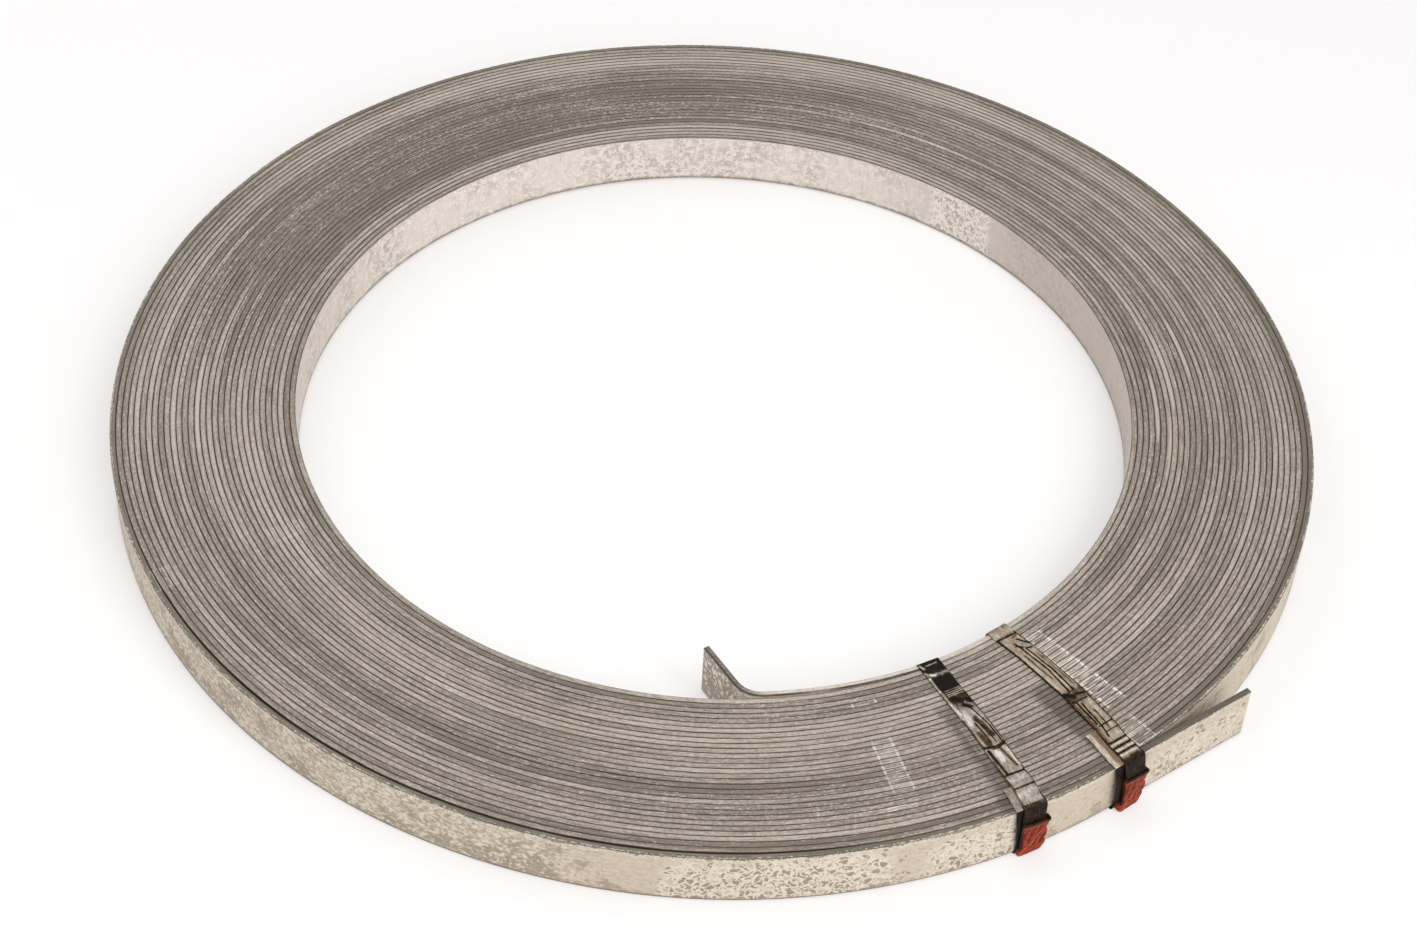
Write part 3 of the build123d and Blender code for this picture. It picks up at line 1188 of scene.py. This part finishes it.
class SheetMesh:
    """A sheet of metal laid out as rows of points, then given its thickness."""

    def __init__(self, rows: int, columns: int) -> None:
        """Starts an empty sheet of a number of rows and columns."""
        self.rows = rows
        self.columns = columns
        self.points: list[Vector] = []
        self.flat: list[Point2] = []
        self.marks: dict[str, list[float]] = {}

    def add(self, point: Vector, flat: Point2, **marks: float) -> None:
        """Adds the next point, with its place on the flat sheet and the marks kept on it."""
        self.points.append(point)
        self.flat.append(flat)
        for name, value in marks.items():
            self.marks.setdefault(name, []).append(value)

    def laid_out(self, name: str) -> bpy.types.Mesh:
        """The sheet without its thickness, with its layout and marks."""
        faces = []
        for row in range(self.rows - 1):
            for column in range(self.columns - 1):
                first = row * self.columns + column
                faces.append((first, first + 1, first + self.columns + 1, first + self.columns))
        mesh = bpy.data.meshes.new(name)
        mesh.from_pydata(self.points, [], faces)
        layout = mesh.uv_layers.new(name="flat")
        for loop in mesh.loops:
            layout.data[loop.index].uv = self.flat[loop.vertex_index]
        for mark, values in self.marks.items():
            mesh.attributes.new(mark, "FLOAT", "POINT").data.foreach_set("value", values)
        return mesh

    def build(self, name: str, thickness: float, material: bpy.types.Material, crisp: float,
              even: bool) -> bpy.types.Object:
        """Makes the sheet solid.

        Args:
            name: the piece's name.
            thickness: how thick the sheet is, centred on its points.
            material: its finish.
            crisp: edges that turn by more degrees than this stay sharp.
            even: whether the wall keeps its thickness round its bends.

        Returns:
            The finished mesh object.
        """
        mesh = self.laid_out(name + "_sheet")
        mesh.materials.append(material)
        carrier = place_mesh(name + "_carrier", mesh)
        solid = carrier.modifiers.new("thickness", "SOLIDIFY")
        solid.thickness = thickness
        solid.offset = 0.0
        solid.use_even_offset = even
        result = evaluated_mesh(carrier)
        result.shade_smooth()
        result.set_sharp_from_angle(angle=math.radians(crisp))
        return place_mesh(name, result)


@dataclass(frozen=True)
class Mark:
    """A stroke on a strap's top run, from one radius and place across it to another, in millimetres."""

    start: Point2
    end: Point2
    width: float = 0.4
    tone: float = -0.9
    depth: float = 0.0
    rust: float = 0.0
    fade: float = 2.0

    def reaches(self, radius: float) -> bool:
        """Whether the stroke comes near a radius."""
        low, high = sorted((self.start[0], self.end[0]))
        return low - self.fade * self.width <= radius <= high + self.fade * self.width

    def nearness(self, radius: float, across: float) -> float:
        """How much a point lies in the stroke, from 0 to 1."""
        run = (self.end[0] - self.start[0], self.end[1] - self.start[1])
        way = (radius - self.start[0], across - self.start[1])
        share = (way[0] * run[0] + way[1] * run[1]) / (run[0] ** 2 + run[1] ** 2)
        share = min(max(share, 0.0), 1.0)
        off = math.hypot(way[0] - run[0] * share, way[1] - run[1] * share) / self.width
        return math.exp(-off ** 4) if off < self.fade else 0.0


class Part(Enum):
    """The parts of a strap, from its inner end to its outer one."""

    TAB = "tab"
    UNDER_LEG = "under_leg"
    FOOT = "foot"
    RUN = "run"
    OVER_LEG = "over_leg"


@dataclass
class Strap:
    """A steel strap round the coil's section, its ends overlapping on the outer wall, in millimetres."""

    node: str
    name: str
    coating: bpy.types.Material
    angle: float
    wall: float
    reach: float
    under_stand_off: float
    over_stand_off: float
    tab_offset: Point2
    under_offset: float
    seal_offset: float
    run_offsets: tuple[Point2, ...]
    tones: tuple[Point2, ...]
    marks: tuple[Mark, ...]
    tab_rust: float
    tab_tone: float
    bore: float = 220.9
    width: float = 12.7
    narrowed: float = 0.07
    narrowing: float = 12.0
    thickness: float = 0.5
    rest_height: float = 31.05
    layer: float = 0.55
    layer_before: float = 4.0
    layer_after: float = 1.0
    layer_bend: float = 6.0
    floor_gap: float = 0.06
    end_height: float = 4.5
    edge_bend: float = 1.3
    foot_bend: float = 1.0
    bore_bend: float = 1.6
    leg_bend: float = 8.0
    over_leg_bend: float = 10.0
    seal_height: float = 13.0
    leg_above: float = 8.0
    leg_below: float = 6.0
    over_leg_above: float = 9.0
    straight_above: float = 10.0
    step: float = 0.45
    columns: int = 35
    ripple: float = 0.14
    ripples: Point2 = (0.11, 2.0)
    top_ripple: float = 1.4
    leg_ripple: float = 0.8
    highest_lift: float = 0.1
    over_tone: float = 0.1
    under_tone: float = -0.05
    rust_middle: float = -0.1
    rust_width: float = 0.2
    crisp: float = 40.0
    seed: float = 0.0

    def corners(self) -> tuple[list[Point2], list[float]]:
        """The strap's route round the section, as points and the bends' radii."""
        low = self.floor_gap + self.thickness / 2
        first = self.rest_height + self.thickness / 2
        second = first + self.layer
        under = self.wall + self.thickness / 2
        over = under + self.layer
        tab_end = self.wall - self.reach
        points = [
            (tab_end, first),
            (under, first),
            (under + self.under_stand_off, self.seal_height + self.leg_above),
            (under + self.under_stand_off, self.seal_height - self.leg_below),
            (under, low),
            (self.bore, low),
            (self.bore, first),
            (tab_end - self.layer_before, first),
            (tab_end + self.layer_after, second),
            (over, second),
            (over + self.over_stand_off, self.seal_height + self.over_leg_above),
            (over + self.over_stand_off, self.end_height),
        ]
        radii = [self.edge_bend, self.leg_bend, self.leg_bend, self.foot_bend, self.foot_bend, self.bore_bend,
                 self.layer_bend, self.layer_bend, self.edge_bend + self.layer, self.over_leg_bend]
        return points, radii

    def part_at(self, station: Station, passed_bore: bool) -> Part:
        """Which part of the strap a station belongs to."""
        radius, height = station.at
        if passed_bore:
            return Part.RUN if radius < self.wall else Part.OVER_LEG
        if height > self.rest_height - self.edge_bend and radius < self.wall:
            return Part.TAB
        return Part.FOOT if height < self.foot_bend and radius < self.wall else Part.UNDER_LEG

    def offset_at(self, station: Station, part: Part) -> float:
        """How far to the side the strap's middle lies at a station."""
        radius, height = station.at
        if part is Part.TAB:
            inner, outer = self.tab_offset
            return between(((self.wall - self.reach, inner), (self.wall, outer)), radius)
        if part is Part.UNDER_LEG:
            return between(((0.0, self.under_offset), (self.rest_height, self.tab_offset[1])), height)
        if part is Part.FOOT:
            return between(((self.bore, self.run_offsets[0][1]), (self.wall, self.under_offset)), radius)
        if part is Part.RUN:
            return between(self.run_offsets, radius)
        straight_to = self.seal_height + self.straight_above
        return between(((straight_to, self.seal_offset), (self.rest_height, self.run_offsets[-1][1])), height)

    def tone_at(self, radius: float, part: Part) -> float:
        """How bare the strap is at a radius, from 0, waxed, to 1, bare, with painted highlights raised in it
        where the bends catch the light.
        """
        if part is Part.RUN:
            return between(self.tones, radius)
        return {Part.OVER_LEG: self.over_tone, Part.TAB: self.tab_tone}.get(part, self.under_tone)

    def lay_station(self, sheet: SheetMesh, station: Station, passed_bore: bool) -> None:
        """Adds the row of points across the strap at one station.

        Args:
            sheet: the sheet that the points go into.
            station: the place on the strap's route.
            passed_bore: whether the strap has already come up the bore.
        """
        radius, height = station.at
        part = self.part_at(station, passed_bore)
        on_top = part in (Part.TAB, Part.RUN)
        marks = [mark for mark in self.marks if part is Part.RUN and mark.reaches(radius)]
        narrowing = smoothstep((self.wall - radius) / self.narrowing) if part is Part.RUN else 0.0
        width = self.width * (1 - self.narrowed * narrowing)
        middle = self.offset_at(station, part)
        level = self.tone_at(radius, part)
        along = PLACING.along(self.angle)
        for column in range(self.columns):
            share = column / (self.columns - 1) - 0.5
            across = share * width
            spot = Vector((station.distance * self.ripples[0], share * self.ripples[1], self.seed))
            lift = self.ripple * noise.noise(spot) * (self.top_ripple if on_top else self.leg_ripple)
            tone = level
            rust = 0.0
            if part is Part.TAB:
                rust = self.tab_rust * bump_at(share, self.rust_middle, self.rust_width)
            for mark in marks:
                near = mark.nearness(radius, across)
                lift -= mark.depth * near
                tone += mark.tone * near
                rust = max(rust, mark.rust * near)
            lift = min(lift, self.highest_lift)
            rho = radius + station.heading.y * lift
            rise = height + (abs(station.heading.x) * lift if on_top else 0.0)
            ground = PLACING.point(self.angle, rho * MM, rise * MM)
            sheet.add(ground + along * ((middle + across) * MM), (station.distance * MM, across * MM),
                      tone=tone, rust=rust)

    def build(self) -> bpy.types.Object:
        """Lays the strap round the coil and returns its mesh object."""
        stations = flat_route(*self.corners(), self.step)
        sheet = SheetMesh(len(stations), self.columns)
        passed_bore = False
        for station in stations:
            passed_bore = passed_bore or station.at.x < self.bore + self.bore_bend
            self.lay_station(sheet, station, passed_bore)
        strap = sheet.build(self.name, self.thickness * MM, self.coating, self.crisp, even=True)
        return hand_over(strap, self.node)


@dataclass
class Seal:
    """A folded red sleeve, crimped over both layers of a strap and open at the back, in millimetres."""

    node: str
    name: str
    paint: bpy.types.Material
    angle: float
    wall: float
    offset: float
    front: float
    foot: float = 0.8
    length: float = 22.6
    right_drop: float = 0.1
    corner_lift: float = 1.6
    corner_from: float = 3.0
    corner_width: float = 4.4
    left: float = -6.4
    right: float = 7.4
    lean: float = 2.2
    foot_reach: float = 2.5
    foot_share: Point2 = (0.2, 0.08)
    flange: float = 4.5
    thickness: float = 0.8
    clearance: float = 0.05
    fold: float = 0.75
    left_fold: float = 0.42
    left_depth: float = 0.45
    left_share: Point2 = (0.12, 0.1)
    lip_share: Point2 = (0.82, 0.18)
    lip_spread: Point2 = (0.7, 0.5)
    toe_share: float = 0.3
    toe_draw: Point2 = (0.3, 1.4)
    notches: Point2 = (0.66, 0.27)
    notch_width: float = 0.07
    notch_depth: Point2 = (0.3, 0.8)
    jaw_rows: tuple[Point2, ...] = ((0.68, -0.8), (0.36, 1.0))
    jaw_slots: tuple[float, ...] = (-3.9, 0.0, 3.9)
    jaw_lean: float = 4.0
    jaw_half: Point2 = (1.2, 0.165)
    jaw_fade: Point2 = (0.4, 0.03)
    jaw_depth: float = 0.28
    scratch_foot: Point2 = (-5.0, 0.12)
    scratch_slope: float = 1.3
    scratch_width: float = 0.5
    scratch_top: Point2 = (0.72, 0.1)
    dents: Point2 = (0.22, 4.0)
    dent_depth: float = 0.45
    rim_waves: Point2 = (0.5, 2.0)
    rim_wave: float = 0.25
    lip_from: Point2 = (0.9, 0.05)
    front_from: Point2 = (1.2, 0.6)
    step: float = 0.3
    rows: int = 40
    columns: int = 76
    crisp: float = 50.0
    seed: float = 0.0

    @staticmethod
    def past(value: float, edge: Point2) -> float:
        """How far a value is past an edge, given by its start and its width, from 0 to 1."""
        return smoothstep((value - edge[0]) / edge[1])

    @staticmethod
    def before(value: float, edge: Point2) -> float:
        """How far a value is before an edge, given by its end and its width, from 0 to 1."""
        return smoothstep((edge[0] - value) / edge[1])

    def section(self, share: float) -> list[Station]:
        """The sleeve's section at a share of its height, from one back flange round to the other."""
        lip = self.past(share, self.lip_share)
        toe = self.before(share, (self.toe_share, self.toe_share)) ** 2
        notch = sum(bump_at(share, middle, self.notch_width) for middle in self.notches)
        front = self.front + self.lip_spread[0] * lip - self.toe_draw[0] * toe
        face = front - self.notch_depth[0] * notch
        right = self.right + self.lip_spread[1] * lip - self.notch_depth[1] * notch - self.toe_draw[1] * toe
        left = self.left + self.lean * (1 - share) - self.foot_reach * self.before(share, self.foot_share)
        back = self.wall + self.thickness / 2 + self.clearance
        left_back = back + (self.front - self.wall) * self.left_depth * self.past(share, self.left_share)
        corners = [(left + self.flange, left_back), (left, left_back), (left, face), (right, face),
                   (right, back), (right - self.flange, back)]
        room = min(self.left_fold * (front - left_back), self.fold)
        stations = flat_route(corners, [room, room, self.fold, self.fold], self.step)
        total = stations[-1].distance
        spaced = []
        number = 0
        for column in range(self.columns):
            wanted = total * column / (self.columns - 1)
            while number < len(stations) - 2 and stations[number + 1].distance < wanted:
                number += 1
            first, second = stations[number], stations[number + 1]
            part = (wanted - first.distance) / max(second.distance - first.distance, TINY)
            spaced.append(Station(first.at.lerp(second.at, part), first.heading, wanted))
        return spaced

    def pressed(self, across: float, share: float) -> float:
        """How deeply the crimping jaws pressed the front at a place, from 0 to 1."""
        depth = 0.0
        for row, shift in self.jaw_rows:
            for slot in self.jaw_slots:
                off = abs(across - slot - shift - (share - row) * self.jaw_lean)
                sideways = self.before(off, (self.jaw_half[0], self.jaw_fade[0]))
                upright = self.before(abs(share - row), (self.jaw_half[1], self.jaw_fade[1]))
                depth = max(depth, sideways * upright)
        return depth

    def scratched(self, across: float, share: float) -> float:
        """How much a place lies in the pale line that runs up the front, from 0 to 1."""
        foot, low = self.scratch_foot
        off = (share - low) * self.length - (across - foot) * self.scratch_slope
        return bump_at(off, 0.0, self.scratch_width) * self.before(share, self.scratch_top)

    def height_at(self, across: float, share: float) -> float:
        """The height of a place at a share of the sleeve's own height, with its bent corners."""
        top = self.foot + self.length - self.right_drop * (across - self.left)
        low = self.foot + self.corner_lift * self.past(across, (self.corner_from, self.corner_width))
        wave = noise.noise(Vector((across * self.rim_waves[0], self.seed, share * self.rim_waves[1])))
        return low + share * (top - low) + self.rim_wave * wave

    def build(self) -> bpy.types.Object:
        """Folds and crimps the seal and returns its mesh object."""
        sheet = SheetMesh(self.rows, self.columns)
        for row in range(self.rows):
            share = row / (self.rows - 1)
            for station in self.section(share):
                across, rho = station.at
                on_front = smoothstep((rho - self.front + self.front_from[0]) / self.front_from[1])
                crimp = self.pressed(across, share) * on_front
                dent = noise.noise(Vector((across * self.dents[0], share * self.dents[1], self.seed)))
                rho += on_front * (self.dent_depth * dent - self.jaw_depth * crimp)
                ground = PLACING.point(self.angle, rho * MM, self.height_at(across, share) * MM)
                sheet.add(
                    ground + PLACING.along(self.angle) * ((self.offset + across) * MM),
                    (station.distance * MM, share * self.length * MM),
                    crimp=crimp, lip=self.past(share, self.lip_from),
                    scratch=self.scratched(across, share) * on_front,
                )
        seal = sheet.build(self.name, self.thickness * MM, self.paint, self.crisp, even=False)
        return hand_over(seal, self.node)


@dataclass(frozen=True)
class Camera:
    """The photograph's viewpoint, as a distance in metres and angles in degrees round the coil's centre."""

    distance: float = 1.4872
    elevation: float = 42.3646
    pan: float = 0.0706
    tilt: float = -0.9283
    roll: float = -3.2497
    focal_px: float = 2738.17
    frame_width_px: int = 1417
    sensor_mm: float = 36.0
    clip_start: float = 10 * MM

    def build(self) -> bpy.types.Object:
        """Adds the camera and makes it the scene's own."""
        lift = math.radians(self.elevation)
        eye = Vector((0, -self.distance * math.cos(lift), self.distance * math.sin(lift)))
        ahead = -eye.normalized()
        right = Vector((1, 0, 0))
        up = right.cross(ahead)
        tilt = Matrix.Rotation(math.radians(self.tilt), 3, right)
        ahead, up = tilt @ ahead, tilt @ up
        pan = Matrix.Rotation(math.radians(self.pan), 3, up)
        ahead, right = pan @ ahead, pan @ right
        roll = Matrix.Rotation(math.radians(self.roll), 3, ahead)
        right, up = roll @ right, roll @ up
        data = bpy.data.cameras.new("camera")
        data.sensor_width = self.sensor_mm
        data.sensor_fit = "HORIZONTAL"
        data.lens = self.focal_px * self.sensor_mm / self.frame_width_px
        data.clip_start = self.clip_start
        camera = bpy.data.objects.new("camera", data)
        bpy.context.scene.collection.objects.link(camera)
        turned = Matrix((right, up, -ahead)).transposed().to_4x4()
        turned.translation = eye + PLACING.point(0, 0)
        camera.matrix_world = turned
        bpy.context.scene.camera = camera
        return camera


@dataclass(frozen=True)
class Lamp:
    """A soft square lamp aimed at the coil: its place and size in metres and its power in watts."""

    name: str
    place: tuple[float, float, float]
    size: float
    power: float

    def build(self) -> bpy.types.Object:
        """Adds the lamp."""
        data = bpy.data.lights.new(self.name, "AREA")
        data.shape = "SQUARE"
        data.size = self.size
        data.energy = self.power
        lamp = bpy.data.objects.new(self.name, data)
        lamp.location = self.place
        lamp.rotation_euler = (-Vector(self.place)).to_track_quat("-Z", "Y").to_euler()
        bpy.context.scene.collection.objects.link(lamp)
        return lamp


@dataclass(frozen=True)
class Studio:
    """Plain pale floor, soft lamps and a white surround."""

    floor_size: float = 8.0
    floor_colour: Colour = (0.9, 0.885, 0.88)
    floor_roughness: float = 0.7
    floor_lift: Ramp = Ramp(0.6, 1.5, 0.34, 1.0)
    lamps: tuple[Lamp, ...] = (
        Lamp("key", (0.9, -1.6, 1.7), 1.8, 42.0),
        Lamp("fill", (-1.3, 0.9, 1.8), 1.8, 14.0),
    )
    surround_light: Ramp = Ramp(0.0, 1.0, 0.6, 1.0)

    @staticmethod
    def seen(tree: TreeBuilder) -> Field:
        """Whether a ray comes from the camera or out of a reflection or a see-through piece."""
        rays = tree.add("ShaderNodeLightPath").outputs
        seen = Field(tree, rays["Is Camera Ray"])
        for kind in ("Is Glossy Ray", "Is Transmission Ray"):
            seen = tree.math("MAXIMUM", seen, Field(tree, rays[kind]))
        return seen

    def floor(self) -> bpy.types.Object:
        """Adds the floor: pale and shadowed near the coil, and plain white to the camera further away."""
        bpy.ops.mesh.primitive_plane_add(size=self.floor_size)
        floor = bpy.context.object
        floor.name = "floor"
        tree = ShaderTree("floor")
        away = tree.get("ShaderNodeVectorMath", {0: tree.position}, "Value", operation="LENGTH")
        tree.feed(tree.shader.inputs["Base Color"], self.floor_colour)
        tree.shader.inputs["Roughness"].default_value = self.floor_roughness
        white = tree.get("ShaderNodeEmission", {"Color": (1.0, 1.0, 1.0), "Strength": 1.0})
        pale = Field(tree, tree.shader.outputs[0])
        share = self.seen(tree) * away.rise(self.floor_lift)
        shown = tree.get("ShaderNodeMixShader", {0: share, 1: pale, 2: white})
        tree.feed(tree.tree.nodes["Material Output"].inputs["Surface"], shown)
        floor.data.materials.append(tree.material)
        return floor

    def surround(self) -> None:
        """Sets the world: even light, and white to the camera and in reflections."""
        world = bpy.data.worlds.new("surround")
        bpy.context.scene.world = world
        world.use_nodes = True
        tree = TreeBuilder(world.node_tree)
        background = world.node_tree.nodes["Background"]
        background.inputs[0].default_value = (1, 1, 1, 1)
        tree.feed(background.inputs[1], self.seen(tree).rise(self.surround_light))

    def build(self) -> None:
        """Adds the floor, the surround and the lamps."""
        self.floor()
        self.surround()
        for lamp in self.lamps:
            lamp.build()
        bpy.context.scene.view_settings.view_transform = "Standard"


def left_strap(coating: bpy.types.Material) -> Strap:
    """The left strap, most of whose black wax is left near the bore."""
    scratches = tuple(Mark((radius, -3.0), (radius - 0.3, 5.6), 0.32, 0.5)
                      for radius in (242.3, 243.6, 244.8, 246.0))
    return Strap(
        node="strap_left", name="strap_left_band", coating=coating, angle=-60.3, wall=320.55,
        reach=14.0, under_stand_off=1.1, over_stand_off=1.6,
        tab_offset=(-3.9, -5.0), under_offset=-3.0, seal_offset=-2.2,
        run_offsets=((222, -0.5), (237, -0.2), (270, 0.9), (304, 0.0), (320, -1.6)),
        # The rise in tone near 230.8 mm is a painted highlight across the strap's bend near the bore.
        tones=((222, 0.0), (229, 0.02), (230.8, 0.45), (232.4, 0.3), (233.6, -0.2), (241.2, -0.2),
               (242.6, 0.15), (247, 0.2), (254, 0.45), (260, 0.66), (267, 0.62), (275, 0.58), (280, 0.58),
               (285, 0.66), (298, 0.6), (302, 0.6), (318, 0.64), (320, 0.2)),
        marks=scratches + (
            # Painted highlights: glints at the bore end and a bright band across the bend near 230 mm.
            Mark((223.0, -5.4), (225.5, -4.4), 0.7, 0.7),
            Mark((224.3, -2.5), (223.8, 3.5), 0.5, 0.6),
            Mark((228.6, -5.6), (231.2, -2.0), 0.9, 0.5, -0.1),
            Mark((231.0, -2.0), (231.4, 5.4), 0.45, 0.12, -0.1),
            Mark((232.6, -5.4), (241.4, -5.2), 0.8, 0.8),
            Mark((241.4, -5.2), (258.0, -4.8), 0.8, 0.35),
            Mark((248.0, -2.2), (250.0, 0.6), 1.5, -0.8),
            Mark((250.4, 3.6), (252.4, 4.8), 1.1, -0.8),
            Mark((253.5, 0.5), (255.5, 2.5), 1.1, -0.6),
            Mark((246.0, 5.6), (300.0, 5.7), 0.35, -0.4),
            Mark((255.0, 2.0), (268.0, 4.2), 0.3),
            Mark((268.0, 4.2), (281.0, 4.7), 0.28),
            Mark((263.0, 0.5), (275.0, 2.3), 1.5, -0.35),
            Mark((266.0, -1.5), (279.0, -0.5), 0.45, -0.5),
            Mark((268.0, 1.0), (280.0, 2.0), 0.3, -0.5),
            Mark((257.0, -2.0), (266.0, -3.4), 1.3, 0.18),
            Mark((262.0, -5.7), (282.0, -5.7), 0.35, -0.3, 0.0, 0.7),
            Mark((272.0, -3.2), (281.0, -2.2), 1.3, -0.35, 0.0, 0.7),
            Mark((280.8, -6.5), (282.6, 0.5), 0.8, -0.6, 0.35, 0.6),
            Mark((282.9, -1.0), (281.6, 6.5), 1.0, -0.65, 0.35, 0.55),
            Mark((284.8, -1.4), (291.0, -0.6), 1.3, 0.21),
            Mark((284.0, 1.6), (296.0, 3.6), 0.8, -0.35, 0.0, 0.8),
            Mark((283.5, -4.6), (298.5, -3.4), 0.8, -0.7, 0.1, 0.5),
            Mark((285.0, 4.4), (297.0, 5.0), 0.45, 0.18),
            Mark((290.0, -5.6), (319.0, -5.6), 0.5, -0.3, 0.0, 0.8),
            # Pressed cross creases, their dark tone painted shade.
            Mark((299.7, -6.5), (299.9, 6.5), 0.6, -0.75, 0.35),
            Mark((308.8, -6.5), (308.8, 6.5), 0.6, -0.5, 0.3),
            Mark((300.0, 5.7), (319.0, 5.7), 0.35, -0.4),
            Mark((303.5, -4.0), (303.5, 5.0), 1.7, 0.096, -0.1),
            Mark((313.5, -5.0), (313.0, 5.0), 1.9, 0.12, -0.12),
            Mark((318.9, -5.5), (318.9, 5.5), 0.4, 0.18),
        ),
        tab_rust=0.3, tab_tone=0.58, seed=3.0,
    )


def right_strap(coating: bpy.types.Material) -> Strap:
    """The right strap, scuffed and rusted all along its top run."""
    # The folds are pressed creases whose dark tone is painted shade; the ribs between them are painted
    # highlights.
    folds = tuple(Mark((radius, -6.5), (radius + 0.4, 6.5), 0.7, -0.6, 0.3)
                  for radius in (308.6, 312.1, 315.5))
    ribs = tuple(Mark((radius, -5.0), (radius + 0.6, 5.6), 0.3, 0.3, -0.08)
                 for radius in (310.2, 313.9, 317.2))
    return Strap(
        node="strap_right", name="strap_right_band", coating=coating, angle=-49.9, wall=321.1,
        reach=23.0, under_stand_off=1.9, over_stand_off=2.9,
        tab_offset=(-4.9, -7.1), under_offset=-4.7, seal_offset=-2.3,
        run_offsets=((222, 1.5), (243, 3.0), (271, 3.2), (290, 1.8), (313, -1.3), (320, -1.8)),
        tones=((221, 0.5), (226, 0.66), (228, 0.4), (230, 0.6), (236, 0.54), (242, 0.6), (270, 0.6),
               (274, 0.35), (278, 0.35), (283, 0.55), (297, 0.52), (303, 0.6), (318, 0.6), (320.5, 0.15)),
        marks=folds + ribs + (
            # A pressed cross crease, its dark tone painted shade.
            Mark((227.8, -6.5), (229.0, 6.5), 0.35, -0.8, 0.2),
            Mark((230.6, 2.0), (229.8, 4.5), 0.9, -0.1, 0.0, 1.0),
            Mark((232.5, 2.6), (237.5, 5.2), 0.45, -1),
            Mark((239.5, 1.8), (240.5, 4.4), 0.4),
            Mark((236.0, -1.2), (238.0, 0.8), 0.4, -0.8),
            Mark((234.0, -0.8), (256.0, 0.5), 0.4, -1, 0.1),
            Mark((256.0, 0.5), (273.0, -1.2), 0.4, -1, 0.1),
            Mark((240.0, 1.5), (258.0, 2.5), 0.35),
            Mark((258.0, 2.5), (273.0, 1.3), 0.4, -1, 0.1),
            Mark((243.0, -2.6), (262.0, -2.3), 0.28, -0.6),
            Mark((240.0, 0.4), (270.0, 0.6), 0.4, 0.12),
            Mark((246.0, 3.9), (270.0, 4.3), 0.8, -0.15, 0.0, 0.5),
            Mark((242.0, -4.4), (270.0, -4.2), 0.8, 0.072),
            Mark((228.0, -5.7), (319.0, -5.7), 0.4, -0.8, 0.0, 0.4),
            Mark((228.0, 5.7), (319.0, 5.7), 0.28, -0.6),
            Mark((273.4, -4.6), (276.4, -1.4), 1.1, -1),
            Mark((275.5, 0.0), (277.0, 4.5), 0.6, -0.8, 0.1, 0.3),
            Mark((279.2, -5.0), (280.0, 4.0), 0.45, -0.5, 0.3, 0.5),
            Mark((276.0, -4.6), (309.0, -4.8), 1.0, -0.15, 0.0, 0.7),
            Mark((280.0, -2.6), (296.0, -3.0), 0.45),
            Mark((282.0, -0.6), (305.0, -2.2), 0.38),
            Mark((288.0, 2.0), (302.0, 1.0), 0.28, -0.6),
            Mark((282.0, 3.4), (305.0, 3.2), 1.2, 0.12),
            # Pressed cross creases, their dark tone painted shade.
            Mark((297.5, -3.0), (297.8, 6.0), 0.38, -0.8, 0.25),
            Mark((302.0, -2.0), (302.3, 6.0), 0.32, -0.7, 0.25),
        ),
        tab_rust=1.5, tab_tone=0.74, bore=220.3, seed=11.0,
    )


def left_seal(paint: bpy.types.Material) -> Seal:
    """The left strap's seal."""
    return Seal("seal_left", "seal_left_sleeve", paint, -60.3, 320.55, -1.6, 323.6, seed=2.0)


def right_seal(paint: bpy.types.Material) -> Seal:
    """The right strap's seal, which stands further off the wall."""
    return Seal("seal_right", "seal_right_sleeve", paint, -49.9, 321.1, -2.3, 325.4, seed=6.0)


def main() -> None:
    """Builds and dresses the coil in order, then the studio round it."""
    logging.basicConfig(level=logging.INFO, format="%(message)s")
    zinc = ZincFinish().build()
    strip = StripCoil(zinc).build()
    cool = StrapFinish("strapping_left").build()
    warm = StrapFinish("strapping_right", grey=srgb(150, 135, 117), bright=srgb(214, 203, 187)).build()
    paint = SealFinish().build()
    pieces = [strip]
    for strap in (left_strap(cool), right_strap(warm)):
        pieces.append(strap.build())
    for seal in (left_seal(paint), right_seal(paint)):
        pieces.append(seal.build())
    for piece in pieces:
        LOG.info("%s: %d faces", piece.name, len(piece.data.polygons))
    Studio().build()
    Camera().build()


if __name__ == "__main__":
    main()
